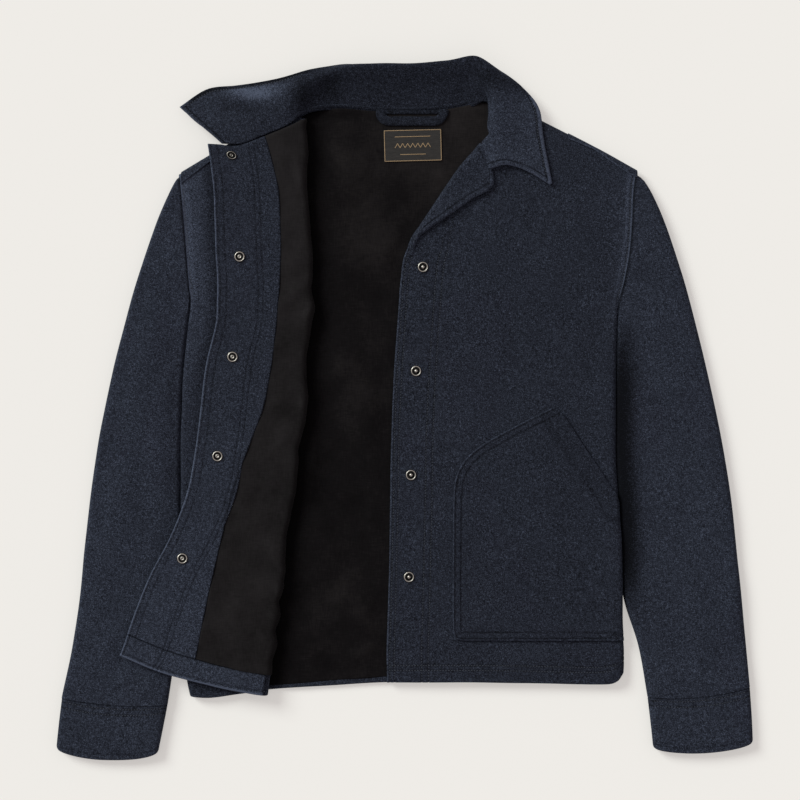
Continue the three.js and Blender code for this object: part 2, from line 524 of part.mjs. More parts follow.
// Collar: smooth guide curves through the stations, then a smooth section at each step
function collarGrid(stationSteps) {
  const guides = ['seam', 'stand', 'roll', 'edge'].map((guide) => new THREE.CatmullRomCurve3(
    COLLAR_STATIONS.map((station) => new THREE.Vector3(...station[guide])), false, 'centripetal'));
  return steps(stationSteps).map((t) => {
    const section = new THREE.CatmullRomCurve3(guides.map((guide) => guide.getPoint(t)), false, 'centripetal');
    return COLLAR_ROUNDS.map((s) => section.getPoint(s));
  });
}

const collarFace = collarGrid(28);
add('collar', shellBetween(collarFace, movedOut(collarFace, COLLAR)), WOOL);

// Lapel: the top of the left facing, round the front's edge and turned out over it
function lapelSection(roll, edge, depth) {
  const width = edge.distanceTo(roll);
  const outward = edge.clone().sub(roll).normalize();
  const height = leftFrontHeight(roll.x, roll.y) - SHELL / 2;
  const turn = SHELL / 2 + GAP + FACING - depth;
  const centre = roll.clone().addScaledVector(outward, SHELL / 2 + GAP + FACING);
  const point = (from, distance, z) => {
    const place = from.clone().addScaledVector(outward, distance);
    return new THREE.Vector3(place.x, place.y, z);
  };
  const round = [-45, -15, 15, 40, 65, 90].map((degrees) => {
    const angle = THREE.MathUtils.degToRad(degrees);
    return point(centre, -turn * Math.cos(angle), height + turn * Math.sin(angle));
  });
  const over = [0.33, 0.67, 1].map((share) => {
    const reach = share * Math.max(width - (SHELL / 2 + GAP + FACING), 1);
    const place = point(centre, reach, 0);
    const lift = leftFrontHeight(place.x, place.y) - leftFrontHeight(roll.x, roll.y);
    return place.setZ(height + turn + lift);
  });
  return [...round, ...over];
}

function lapelGrid(depth) {
  const curves = ['roll', 'edge'].map((line) => new THREE.CatmullRomCurve3(
    LAPEL_STATIONS.map((station) => new THREE.Vector3(...station[line], 0)), false, 'centripetal'));
  return steps(12).map((t) => {
    const [roll, edge] = curves.map((curve) => curve.getPoint(t));
    return lapelSection(new THREE.Vector2(roll.x, roll.y), new THREE.Vector2(edge.x, edge.y), depth);
  });
}

add('lapel_left', shellBetween(lapelGrid(0), lapelGrid(FACING)), WOOL);

// Patch pocket, laid on the left front and carried round to its side. Its flat part is blended
// between its four edges: foot, inner edge, side and mouth
const POCKET_TIP = new THREE.Vector2(POCKET_EDGE[POCKET_EDGE.length - 1].x, POCKET_EDGE[POCKET_EDGE.length - 1].y);
const POCKET_SIDE = 246.5;

function pocketSide(v) {
  const y = mix(POCKET_BOTTOM, across(POCKET_MOUTH, POCKET_SIDE), v);
  return new THREE.Vector2(level(y, 'sideLeft') - EDGE_RADIUS, y);
}

function pocketInner(v) {
  const y = mix(POCKET_BOTTOM, POCKET_TIP.y, v);
  return new THREE.Vector2(sample(POCKET_EDGE, 'y', y, 'x'), y);
}

function pocketMouth(t) {
  const x = mix(POCKET_TIP.x, pocketSide(1).x, t);
  return new THREE.Vector2(x, Math.min(across(POCKET_MOUTH, x), POCKET_TIP.y));
}

function pocketPlace(t, v) {
  const foot = pocketInner(0).lerp(pocketSide(0), t);
  const acrossWay = foot.clone().lerp(pocketMouth(t), v);
  const upWay = pocketInner(v).lerp(pocketSide(v), t);
  const corners = foot.lerp(pocketMouth(0).lerp(pocketMouth(1), t), v);
  return acrossWay.add(upWay).sub(corners);
}

function pocketGrid(depth) {
  const columns = [...columnsOf('flat', 8), ...columnsOf('leftRoll', 2).slice(1)];
  return steps(14).map((v) => columns.map(({ zone, t }) => {
    if (zone === 'flat') {
      const { x, y } = pocketPlace(t, v);
      return new THREE.Vector3(x, y, leftFrontHeight(x, y) - depth);
    }
    const { x: side, y } = pocketSide(v);
    const angle = mix(Math.PI / 2, Math.PI / 4, t);
    const radius = EDGE_RADIUS - depth;
    return new THREE.Vector3(side + radius * Math.cos(angle), y, EDGE_RADIUS + radius * Math.sin(angle));
  }));
}

add('pocket_left', shellBetween(pocketGrid(-GAP - PATCH), pocketGrid(-GAP)), WOOL);

// Press fasteners turned about their own axis and laid on the cloth
function turnedSolid(profile) {
  const points = profile.map(([radius, z]) => new THREE.Vector2(radius, z));
  return new THREE.LatheGeometry(points, SNAP_SEGMENTS).rotateX(Math.PI / 2);
}

STUDS.forEach(({ x, y }, i) => {
  const stud = add(`stud_${i + 1}`, turnedSolid(STUD_PROFILE), METAL);
  stud.position.set(x, y, leftFrontHeight(x + SNAP_RADIUS, y) + GAP);
});

SOCKETS.forEach(({ x, y }, i) => {
  const socket = add(`socket_${i + 1}`, turnedSolid(SOCKET_PROFILE), METAL);
  socket.position.set(x, y, flapHeight(x + SNAP_RADIUS, y, FACING_FACE) + GAP);
  const cap = add(`cap_${i + 1}`, turnedSolid(CAP_PROFILE), METAL);
  cap.position.set(x, y, flapHeight(x - SNAP_RADIUS, y, 0) - GAP);
});

// Hanger loop with the tape that holds it, and the label below it
function loopGeometry() {
  const { left, right, top, bottom, corner, thickness } = LOOP;
  const outline = new THREE.Shape();
  outline.moveTo(left, top);
  outline.lineTo(left, bottom + corner);
  outline.quadraticCurveTo(left, bottom, left + corner, bottom);
  outline.lineTo(right - corner, bottom);
  outline.quadraticCurveTo(right, bottom, right, bottom + corner);
  outline.lineTo(right, top);
  outline.closePath();
  const slot = new THREE.Path();
  slot.moveTo(LOOP_SLOT.left, LOOP_SLOT.top);
  slot.lineTo(LOOP_SLOT.right, LOOP_SLOT.top);
  slot.lineTo(LOOP_SLOT.right, LOOP_SLOT.bottom);
  slot.lineTo(LOOP_SLOT.left, LOOP_SLOT.bottom);
  slot.closePath();
  outline.holes.push(slot);
  return new THREE.ExtrudeGeometry(outline, { depth: thickness, bevelEnabled: false, curveSegments: 4 });
}

add('hanger_loop', loopGeometry(), WOOL).position.setZ(LINING_FACE + GAP);

const { width, height, thickness } = LABEL_SIZE;
const label = add('label', new THREE.BoxGeometry(width, height, thickness), LABEL);
label.position.set(LABEL_SIZE.x, LABEL_SIZE.y, LINING_FACE + GAP + thickness / 2);
label.rotation.z = LABEL_SIZE.turn;

// The origin is the middle of the jacket's box, on the surface that it rests on
const box = new THREE.Box3().setFromObject(jacket);
const middle = box.getCenter(new THREE.Vector3());
jacket.position.set(-middle.x, -middle.y, -box.min.z);

export default jacket;
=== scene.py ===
import math

import bpy
import numpy as np
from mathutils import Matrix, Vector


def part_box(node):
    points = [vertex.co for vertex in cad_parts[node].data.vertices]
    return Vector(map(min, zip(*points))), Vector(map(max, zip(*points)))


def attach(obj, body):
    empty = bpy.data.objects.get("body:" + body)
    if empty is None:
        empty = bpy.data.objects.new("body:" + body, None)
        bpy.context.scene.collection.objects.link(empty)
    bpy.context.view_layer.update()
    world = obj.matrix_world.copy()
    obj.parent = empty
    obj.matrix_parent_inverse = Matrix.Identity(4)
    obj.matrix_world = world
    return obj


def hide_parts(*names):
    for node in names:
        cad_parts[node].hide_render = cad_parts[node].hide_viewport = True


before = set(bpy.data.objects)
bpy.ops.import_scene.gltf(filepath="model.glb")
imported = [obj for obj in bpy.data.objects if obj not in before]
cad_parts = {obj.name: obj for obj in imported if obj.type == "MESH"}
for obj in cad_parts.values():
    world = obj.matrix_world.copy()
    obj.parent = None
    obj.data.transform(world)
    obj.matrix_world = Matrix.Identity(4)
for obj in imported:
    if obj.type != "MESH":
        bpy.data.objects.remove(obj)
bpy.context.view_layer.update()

# An insulated jacket laid on its back. Tables are in the jacket's own millimetres, as in the
# part's source: X to the wearer's left, Y to the collar, Z up. ORIGIN moves them to the frame.
MM = 0.001
LABEL_AT = np.array([9.6, 310.5])
label_low, label_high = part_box("label")
label_middle = np.array((label_low + label_high) / 2)[:2] / MM
ORIGIN = np.array([*(label_middle - LABEL_AT), 0.0])

# Cloth thicknesses, the space between pieces, and the heights that they lead to
SHELL = 3.6
LINING = 1.2
FACING = 2.0
COLLAR = 3.0
SLEEVE_WALL = 4.2
PATCH = 2.4
GAP = 0.3
EDGE_RADIUS = 5.5
BODY_TOP = 2 * EDGE_RADIUS
SLEEVE_RADIUS = 6.0
FOLD_SPACE = 3.7
FLAP_DROOP = 0.6
LINING_TUCK = 8.0
FRONT_SAG = 0.9
SAG_REACH = 90.0
UNDERARM = 125.0
LAPEL_FOOT = 185.0
SEAM_ANGLE = math.asin(GAP / 2 / EDGE_RADIUS)
UNDER_LINING = SHELL + GAP
FACING_FACE = UNDER_LINING + FACING
LINING_FACE = UNDER_LINING + LINING
FOLD_REACH = FOLD_SPACE / 2 + LINING_FACE

# Where each edge crosses the body, level by level from the hem to the neck
LEVEL_Y = [-345, -320, -290, -250, -200, -150, -100, -50, 0, 50, 100, 125, 150, 185, 220, 260, 300,
           316, 350]
LEVELS = {
    "side_right": [-252.5, -257.7, -260.3, -262.3, -263.5, -264.4, -265, -265.2, -263.9, -261.5,
                   -257, -254.3, -256.4, -259.4, -262.3, -265.7, -269.1, -270.4, -273.3],
    "flap_edge": [-362, -351.5, -335, -321, -301.5, -275.5, -256.2, -246.5, -240, -234, -222.2,
                  -220.8, -220.4, -222.5, -223.6, -225.3, -230.2, -232.8, -238],
    "facing_edge": [-259, -252.5, -245.5, -237.5, -226.7, -215, -203, -185.8, -167, -157, -151,
                    -149, -147, -145.8, -146.5, -149.2, -158.5, -163, -174],
    "fold": [-160.5, -157.5, -153.5, -148.8, -142.9, -138, -130, -123.5, -116.5, -115.3, -109.7,
             -108, -108.8, -109.8, -112, -114.4, -115, -115, -114.2],
    "front_edge": [-20.5, -21, -21.5, -20.3, -19.1, -18, -16.8, -16.2, -14.6, -12, -8.6, -6.8,
                   -4.9, 1.5, 26.4, 53.2, 83.6, 98.5, 109],
    "side_left": [250, 257.4, 258.8, 256.6, 255.7, 254.6, 252, 249, 249.2, 250.3, 251.8, 254.2,
                  260.6, 266.6, 269.6, 271.4, 278.2, 281.2, 286],
}

# Small waves of the fold's edge: middle, width and height of each
FOLD_WAVES = [
    (332, 9, -1.8), (300, 10, 1.35), (262, 12, -1.05), (180, 16, 1.2), (140, 9, -1.95),
    (117, 9, 1.95), (62, 14, -1.35), (12, 12, 2.25), (-16, 9, 1.2), (-48, 10, -1.95),
    (-96, 14, 1.35), (-150, 12, -1.35), (-192, 9, 1.5), (-210, 5, 1.5), (-228, 6, -2.4),
    (-245, 6, 1.8), (-262, 6, -2.1), (-279, 7, 1.8), (-298, 7, -1.35),
]

# Edges that run across the body, as points from the wearer's right to the left
HEM = np.array([
    [-262, -340], [-232, -342], [-195, -337.5], [-159, -332.5], [-88, -328], [-21, -324.2],
    [135, -324.2], [210, -326], [238, -325.2], [251, -321.4], [260, -310.5]], float)
BACK_TOP = np.array([
    [-272, 273], [-232, 297], [-194, 319.5], [-150, 345], [-122, 357], [-100, 353.6],
    [-76, 354.9], [-35, 352], [5, 351.6], [46, 353.7], [77, 359], [99, 364.5], [115, 363.5],
    [161, 340], [230, 304.7], [264.6, 285.4], [282, 275.5]], float)
BACK_LINING_TOP = np.array([
    [-190, 310], [-160, 327], [-120, 346.5], [-100, 351.8], [-76, 354.2], [-35, 351.2],
    [5, 350.8], [46, 353], [77, 358.3], [97, 361.5], [120, 353], [160, 328]], float)
RIGHT_SHOULDER = np.array([
    [-272, 273], [-232, 297], [-194, 319.5], [-160, 339], [-140, 347], [-125, 349.3],
    [-108, 349.6]], float)
FLAP_NECK = np.array([
    [-240, 312], [-215.6, 310.6], [-207.6, 309], [-194.4, 310], [-175.5, 316.5],
    [-145.3, 328.8], [-128.3, 336.4], [-118.9, 342.5], [-113, 349.6]], float)
FLAP_HEM = np.array([
    [-352, -283.5], [-335.4, -291.2], [-285.3, -311.8], [-224, -327.7], [-188.5, -334.8],
    [-163, -338.5], [-155, -334]], float)
FLAP_BAND = np.array([
    [-345, -258], [-325.7, -266.4], [-287.6, -282.6], [-249, -294.7], [-201.5, -307.3],
    [-157.8, -315.2], [-140, -318]], float)
BACK_LINING_HEM = np.array([
    [-200, -330], [-154, -326.6], [-108, -323], [-53, -318.3], [40, -313]], float)

# Sleeve rings from the armhole to the cuff: inner x and y, outer x and y, and the ring's dip
LEFT_SLEEVE = np.array([
    [254.5, 125, 276.3, 278, 0], [254, 119, 290.6, 256.4, 0], [253, 109, 305.9, 222.1, 0],
    [252, 92, 322.4, 174.9, 0], [251, 62, 336.6, 127.7, 0], [250, 12, 354.3, 56.9, 0],
    [249, -50, 369.6, -13.9, 0], [252, -112, 382.6, -84.7, 0], [253.6, -172, 390.9, -155.5, 1],
    [259.4, -226, 398, -226.3, 2], [276, -281, 403.5, -281, 4],
    [287, -341.5, 407.9, -329.8, 6]], float)
LEFT_CUFF = np.array([
    [286.8, -341.3, 407.9, -329.6, 6], [290.4, -371, 410, -362, 9],
    [293.4, -399, 411.4, -392.8, 11.5]], float)
RIGHT_SLEEVE = np.array([
    [-254.5, 125, -267, 275.5, 0], [-255, 119, -277, 257.5, 0], [-256, 109, -292.3, 222.1, 0],
    [-258, 92, -308.9, 174.9, 0], [-261, 62, -323, 127.7, 0], [-263, 12, -341.9, 56.9, 0],
    [-265, -50, -357.2, -13.9, 0], [-265, -112, -369, -84.7, 0],
    [-264, -172, -377.3, -155.5, 1], [-264.5, -228, -384.4, -226.3, 2],
    [-271, -288, -393, -283, 3], [-280.3, -350.7, -405.3, -342.8, 4.5]], float)
RIGHT_CUFF = np.array([
    [-280.2, -350.5, -405.2, -342.6, 4.5], [-285.5, -377.5, -408.6, -371.5, 9.5],
    [-291, -404.5, -411.5, -399.7, 13.5]], float)

# Collar stations from its open right end to the turned-down left leaf: the neck seam, the
# middle of the stand, the roll and the outer edge
COLLAR_STATIONS = np.array([
    [[-215.6, 311.6, 19.6], [-232, 326, 19], [-249, 341, 15], [-266, 356, 9]],
    [[-193, 311.6, 19.8], [-207, 332, 20.5], [-220, 353, 17], [-233, 377, 9]],
    [[-164, 322.6, 19.8], [-176, 342, 22], [-188, 361, 19], [-199, 380.5, 10]],
    [[-137, 334.2, 18.6], [-144, 353, 22], [-151, 371, 20.5], [-155, 388.5, 12]],
    [[-113, 351.5, 13.5], [-112, 370, 19], [-110, 387, 21.5], [-105, 401.5, 15]],
    [[-78, 356, 6], [-76, 381, 14], [-74, 401, 20.5], [-72, 407, 7.5]],
    [[-35, 352.6, 4.6], [-35, 381, 13.5], [-34, 405, 20.5], [-34, 404, 5]],
    [[5, 352.2, 4.6], [5, 381, 13.5], [5, 405, 20.5], [5, 404, 5]],
    [[46, 354.5, 4.8], [48, 383, 14], [48, 408.5, 21], [52, 407, 6]],
    [[77, 360.5, 6.5], [82, 388, 16], [85, 413.5, 22], [98, 404.5, 9]],
    [[97, 366.5, 10], [95, 376, 17], [101, 391, 23], [138, 380, 13.5]],
    [[103.5, 348, 10.5], [98.5, 349, 15.5], [108, 353, 21], [157, 352, 14.6]],
    [[102.5, 329, 11.5], [97.8, 329, 16], [107, 329, 20.3], [161, 325, 14.6]],
    [[93, 313.5, 14.8], [107, 310, 17.5], [137, 304, 16.5], [166, 298, 14.6]],
    [[101.6, 284.4, 14.7], [119, 288.5, 16], [145, 281, 15.6], [172.4, 264.6, 14.6]]], float)
LAPEL_ROLL = np.array([
    [1.5, 180], [4.6, 192], [10.5, 204], [19, 216], [38, 244.5], [57, 273], [75, 296],
    [90.3, 311.3]])
LAPEL_EDGE = np.array([
    [7, 180.5], [9.6, 193], [16.5, 205.5], [30, 215.6], [58, 234.5], [80, 249.5], [102, 263.5],
    [100.4, 283.3]])

# Patch pocket: its inner edge and its slanted mouth
POCKET_EDGE = np.array([
    [-273, 60], [-262, 57.2], [-142, 57.2], [-108, 57.8], [-84, 60], [-62, 70.5], [-44, 90.5],
    [-27, 120], [-11, 151], [1, 176]], float)
POCKET_MOUTH = np.array([
    [176, 1.4], [185.6, -6.8], [210.7, -44.5], [235.9, -82.3], [252.2, -110.2],
    [256, -133]], float)
POCKET_BOTTOM = -274.0
POCKET_SIDE = 246.5
POCKET_TIP = (176.0, 1.0)

# Press fasteners, the hanger loop and the neck label
SNAP_RADIUS = 6.5
SNAP_SEGMENTS = 40
STUDS = [(21.5, 166.7), (13.3, 44), (7.4, -78.8), (5, -199.1)]
SOCKETS = [(-203.8, 297.7), (-194.4, 178.5), (-202.7, 60.5), (-220.4, -56.3), (-261.7, -176.7)]
LABEL_WIDTH = 68.4
LABEL_HEIGHT = 37.8
LABEL_TURN = 0.025

# Rows of topstitching, as distances from the edge that they follow
FRONT_ROWS = (3.8, 9.1)
PLACKET_ROWS = (41.3, 49.1)
HEM_ROWS = (14.2, 20.1)
FACING_ROWS = (3.5, 11.2)
FACING_PLACKET_ROWS = (48.4, 54.3)
POCKET_ROWS = (2.4, 9.4)
MOUTH_ROWS = (19.8, 23.6)
CUFF_ROWS = (3.5, 9.4)
ARMHOLE_ROW = 4.1
SEAM_LAP = 0.8
BAND_ROW = 5.0
STITCH_STEP = 3.3
STITCH_WIDTH = 0.46
STITCH_HEIGHT = 0.36
STITCH_DEPTH = 0.45
GROOVE_WIDTH = 0.85
GROOVE_DEPTH = 0.42

# How much painted shade or painted light goes into cloth's colour in channels, at seams,
# on its hidden face and beside the armholes, and how much darker or paler parts are
CHANNEL_SHADE = 1.9
SEAM_SHADE = 0.8
INNER_SHADE = 0.3
FRONT_DARK = 0.06
POCKET_DARK = 0.09
FLAP_GLOW = 0.34
ARMHOLE_HIGHLIGHT = {"left": 1.25, "right": 0.9}

# How thin a rounded edge is at its very end, as a share of the wall, and how wide the painted
# highlight along a free edge is
LEAST_BULGE = 0.28
HIGHLIGHT_RIM_WIDTH = 1.3

# Zones of a panel's columns. EDGE_BAND is the width of the one beside a free edge, INNER_REACH
# turns a place in the facing's other one into a distance from its inner edge, and FAR is a
# distance from no edge at all
ROLL, LOWER, BEND, UPPER, EDGE, TUCK = range(6)
EDGE_BAND = 58.0
INNER_REACH = 60.0
FAR = 1e3


def smooth(value, low, high):
    """Smooth step: nothing at low, one at high, and level at both ends."""
    share = np.clip((value - low) / (high - low), 0, 1)
    return share * share * (3 - 2 * share)


def between(first, second, share):
    """Straight blend from first to second."""
    return first + (second - first) * share


def bell(away, width=HIGHLIGHT_RIM_WIDTH):
    """Bell on a distance: one at nothing, about a third at width, and soon nothing beyond. With
    no width given it is as wide as the painted highlight along a free edge where it turns."""
    return np.exp(-(np.asarray(away) / width) ** 2)


def hermite(t, first, leave, final, arrive):
    """Cubic from first to final whose slopes at the two ends are leave and arrive."""
    t2 = t * t
    t3 = t2 * t
    return ((2 * t3 - 3 * t2 + 1) * first + (t3 - 2 * t2 + t) * leave
            + (3 * t2 - 2 * t3) * final + (t3 - t2) * arrive)


def curve(places, values, at):
    """Cubic through a table: in each span the Hermite blend of both ends' values and of
    their slopes, each slope being the chord of the two neighbours."""
    places = np.asarray(places, float)
    values = np.asarray(values, float)
    at = np.asarray(at, float)
    last = len(places) - 1
    i = np.clip(np.searchsorted(places, at) - 1, 0, last - 1)
    before = np.maximum(i - 1, 0)
    after = np.minimum(i + 2, last)
    span = places[i + 1] - places[i]
    t = np.clip((at - places[i]) / span, -0.5, 1.5)
    start = (values[i + 1] - values[before]) / (places[i + 1] - places[before]) * span
    end = (values[after] - values[i]) / (places[after] - places[i]) * span
    return hermite(t, values[i], start, values[i + 1], end)


def level(y, name):
    """Where the named edge crosses the level y."""
    return curve(LEVEL_Y, LEVELS[name], y)


def fold_line(y):
    """Where the fold crosses the level y, with the small waves of its soft edge."""
    return level(y, "fold") + bells(y, FOLD_WAVES)


def bells(y, waves):
    """Sum of bells, each given by its middle, its width and its height."""
    total = np.zeros(np.shape(y))
    for middle, width, height in waves:
        total = total + height * bell(np.asarray(y, float) - middle, width)
    return total


def across(table, x):
    """The height up the body of a cross edge at x."""
    return curve(table[:, 0], table[:, 1], x)


def smooth_line(points, at):
    """Centripetal Catmull-Rom curve through points, for at from 0 to 1. Knots are apart by the
    square root of the chord, and past both ends the first chord is mirrored. The points may
    carry a second axis, and then as many curves are worked out at once."""
    first = 2 * points[:1] - points[1:2]
    final = 2 * points[-1:] - points[-2:-1]
    held = np.concatenate([first, points, final])
    last = len(points) - 2
    place = np.asarray(at, float) * (len(points) - 1)
    i = np.clip(place.astype(int), 0, last)
    w = (place - i).reshape((-1,) + (1,) * (points.ndim - 1))
    p0, p1, p2, p3 = held[i], held[i + 1], held[i + 2], held[i + 3]
    gap = [np.sqrt(np.linalg.norm(b - a, axis=-1, keepdims=True))
           for a, b in ((p0, p1), (p1, p2), (p2, p3))]
    g0, g1, g2 = [np.maximum(g, 1e-4) for g in gap]
    leave = ((p1 - p0) / g0 - (p2 - p0) / (g0 + g1) + (p2 - p1) / g1) * g1
    arrive = ((p2 - p1) / g1 - (p3 - p1) / (g1 + g2) + (p3 - p2) / g2) * g1
    return hermite(w, p1, leave, p2, arrive)


def rounded(near, outer, inner):
    """Depths of a wall's two faces where it rounds off at an edge: a half circle, as a share
    of half the thickness, over that same distance from the edge."""
    middle = (outer + inner) / 2
    half = np.abs(inner - outer) / 2
    bulge = np.maximum(np.sqrt(1 - (1 - np.clip(near / half, 0, 1)) ** 2), LEAST_BULGE)
    return middle + (outer - middle) * bulge, middle + (inner - middle) * bulge


def unit(vectors):
    """Each vector divided by its length."""
    return vectors / np.maximum(np.linalg.norm(vectors, axis=-1, keepdims=True), 1e-9)


def lengths_along(points, axis=0):
    """Distance of each point from its line's first one, along one axis of a grid of points."""
    steps = np.cumsum(np.linalg.norm(np.diff(points, axis=axis), axis=-1), axis=axis)
    return np.concatenate([np.zeros_like(np.take(steps, [0], axis=axis)), steps], axis=axis)


def picked(at, length, points):
    """Points at given distances along a line, straight between its own points."""
    return np.stack([np.interp(at, length, points[:, k]) for k in range(points.shape[1])], -1)


def normals_of(grid):
    """Unit normals of a grid of points: the cross of its two central differences."""
    return unit(np.cross(np.gradient(grid, axis=1), np.gradient(grid, axis=0)))


def ring_normals(grid):
    """Unit normals of a grid whose rows close on themselves."""
    wrapped = np.concatenate([grid[:, -1:], grid, grid[:, :1]], axis=1)
    return normals_of(wrapped)[:, 1:-1]


def beside(x, y, x0, y0, x1, y1):
    """How far along a straight line the nearest place to each point is, from nothing to one,
    and the two level distances of the point from that place."""
    dx = x1 - x0
    dy = y1 - y0
    share = np.clip(((x - x0) * dx + (y - y0) * dy) / (dx * dx + dy * dy), 0, 1)
    return share, x - x0 - share * dx, y - y0 - share * dy


def creases(x, y, lines):
    """Height of soft ridges and troughs: for each line x0, y0, x1, y1, width, height, a bell
    across the line that fades towards both of its ends."""
    total = np.zeros(np.broadcast(x, y).shape)
    for *ends, width, height in lines:
        share, off_x, off_y = beside(x, y, *ends)
        away = off_x ** 2 + off_y ** 2
        total = total + height * np.exp(-away / width ** 2) * (0.2 + 0.8 * np.sin(np.pi * share))
    return total


def swells(x, y, seed, length, height):
    """Uneven lie of cloth: the mean of seven sine waves with seeded directions and phases,
    whose lengths run from 0.7 to 1.8 times the one given."""
    chance = np.random.default_rng(seed)
    total = np.zeros(np.broadcast(x, y).shape)
    for _ in range(7):
        angle = chance.uniform(0, np.pi)
        wave = length * chance.uniform(0.7, 1.8)
        phase = chance.uniform(0, 2 * np.pi)
        total = total + np.sin((x * np.cos(angle) + y * np.sin(angle)) * 2 * np.pi / wave + phase)
    return total * height / 3.5




def grooves(near, rows):
    """Channels that rows of stitching press into cloth: a narrow bell at each distance."""
    total = np.zeros(np.shape(near))
    for row in rows:
        total = total - GROOVE_DEPTH * bell(near - row, GROOVE_WIDTH)
    return total


def tones(near, channels, pale=0.5):
    """Painted highlight at the free edges and painted shade in the channels of stitching."""
    return pale * bell(near) + CHANNEL_SHADE * channels


def seam_shade(near, width=1.0):
    """Painted shade where an edge is drawn down into a seam."""
    return -SEAM_SHADE * bell(near, width)


def edge_offsets(rows, reach, step=3.0):
    """Distances from an edge, from nothing to reach: fine over its rounding, then steps, with
    three more across each row of stitching."""
    fine = [0, 0.2, 0.5, 0.9, 1.4, 2.0, 2.8]
    coarse = list(np.arange(2.8 + step, reach, step))
    stitched = [row + side for row in rows for side in (-1.4, -0.7, 0, 0.7, 1.4)]
    clear = [c for c in coarse if all(abs(c - s) > 0.7 for s in stitched)]
    return np.array(sorted(set(fine + clear + [s for s in stitched if s > 2.3])))


def joined_columns(*runs):
    """Zone and place of each column, from runs of (zone, places)."""
    zones = np.concatenate([np.full(len(places), zone) for zone, places in runs])
    return zones, np.concatenate([np.asarray(places, float) for _, places in runs])


def plan(face):
    """The two level coordinates of a grid of points."""
    return face[..., 0], face[..., 1]


def edge_at(table, lift=0.0):
    """A cross edge of a panel, raised by lift, as a function of the columns' zones and x."""
    return lambda zone, x: across(table, x) + lift


def edge_by_part(flap_table, body_table):
    """A cross edge that follows one table on the turned-back part and another elsewhere."""
    return lambda zone, x: np.where(flap_zone(zone), across(flap_table, x), across(body_table, x))


def rolled_side(side, edge, t, y, depth, turn):
    """Quarter turn at a side seam: t runs from the seam to the flat. turn is 1 on a front,
    which rolls down, and -1 on the back. Above the underarm the turn opens out flat."""
    angle = between(SEAM_ANGLE, np.pi / 2, t)
    radius = EDGE_RADIUS - depth
    share = 1 - smooth(y, UNDERARM - 12, UNDERARM + 14)
    flat_x = EDGE_RADIUS * (1 - t)
    x = edge - side * EDGE_RADIUS + side * between(flat_x, radius * np.cos(angle), share)
    z = EDGE_RADIUS + between(turn * radius, turn * radius * np.sin(angle), share)
    return x, z


def left_height(x, y):
    """Top of the left front: level, and a little lower near its free edge."""
    return BODY_TOP - FRONT_SAG * (1 - smooth(x - level(y, "front_edge"), 0, SAG_REACH))


def flap_height(x, y, depth):
    """Height of the turned-back right front at a depth from its wool face."""
    bend_x = fold_line(y) - FOLD_REACH
    out = (bend_x - x) / (bend_x - level(y, "flap_edge"))
    return BODY_TOP + FOLD_SPACE + depth - FLAP_DROOP * smooth(out, 0.15, 1)


def back_section(zone, t, y, depth):
    """Section of the back: rolled right side, flat, rolled left side. UPPER is the lining."""
    right = level(y, "side_right")
    left = level(y, "side_left")
    right_x, right_z = rolled_side(-1, right, t, y, depth, -1)
    left_x, left_z = rolled_side(1, left, t, y, depth, -1)
    flat_x = between(right + EDGE_RADIUS, left - EDGE_RADIUS, t)
    open_x = between(level(y, "fold") - 40, level(y, "front_edge") + 45, t)
    x = np.select([zone == ROLL, zone == EDGE, zone == UPPER], [right_x, left_x, open_x], flat_x)
    z = np.select([zone == ROLL, zone == EDGE], [right_z, left_z], depth + 0 * flat_x)
    return x, z


def left_section(zone, t, y, depth):
    """Section of the left front: bands from its free edge, the rest, then the rolled side."""
    side = level(y, "side_left")
    edge = level(y, "front_edge")
    roll_x, roll_z = rolled_side(1, side, t, y, depth, 1)
    rest_x = between(edge + EDGE_BAND, side - EDGE_RADIUS, t)
    flat_x = np.where(zone == EDGE, edge + t, rest_x)
    x = np.where(zone == ROLL, roll_x, flat_x)
    z = np.where(zone == ROLL, roll_z, left_height(flat_x, y) - depth)
    return x, z


def right_section(zone, t, y, depth, start="bend"):
    """Section of the right front: rolled side, lower leg, fold, and upper leg back to the
    free edge. start says where UPPER begins: at the bend, or at the facing's inner edge."""
    side = level(y, "side_right")
    bend_x = fold_line(y) - FOLD_REACH
    edge_x = level(y, "flap_edge")
    face_x = level(y, "facing_edge")
    radius = FOLD_SPACE / 2 + depth
    angle = between(-np.pi / 2, np.pi / 2, t)
    roll_x, roll_z = rolled_side(-1, side, t, y, depth, 1)
    lower_x = between(side + EDGE_RADIUS, bend_x, t)
    upper_x = {
        "bend": between(bend_x, edge_x + EDGE_BAND, t),
        "facing": between(face_x, edge_x + EDGE_BAND, t),
        "lining": between(bend_x, face_x + GAP, t),
    }[start]
    tuck_x = between(bend_x - LINING_TUCK, bend_x, t)
    zones = [zone == ROLL, zone == LOWER, zone == BEND, zone == EDGE, zone == TUCK]
    x = np.select(zones, [roll_x, lower_x, bend_x + radius * np.cos(angle), edge_x + t, tuck_x],
                  upper_x)
    low = BODY_TOP - depth + 0 * x
    bend_z = BODY_TOP + FOLD_SPACE / 2 + radius * np.sin(angle)
    z = np.select([zone == ROLL, zone == LOWER, zone == BEND, zone == TUCK],
                  [roll_z, low, bend_z, low], flap_height(x, y, depth))
    return x, z


def flap_zone(zone):
    """True on the columns that belong to the turned-back part."""
    return (zone == UPPER) | (zone == EDGE) | (zone == BEND)


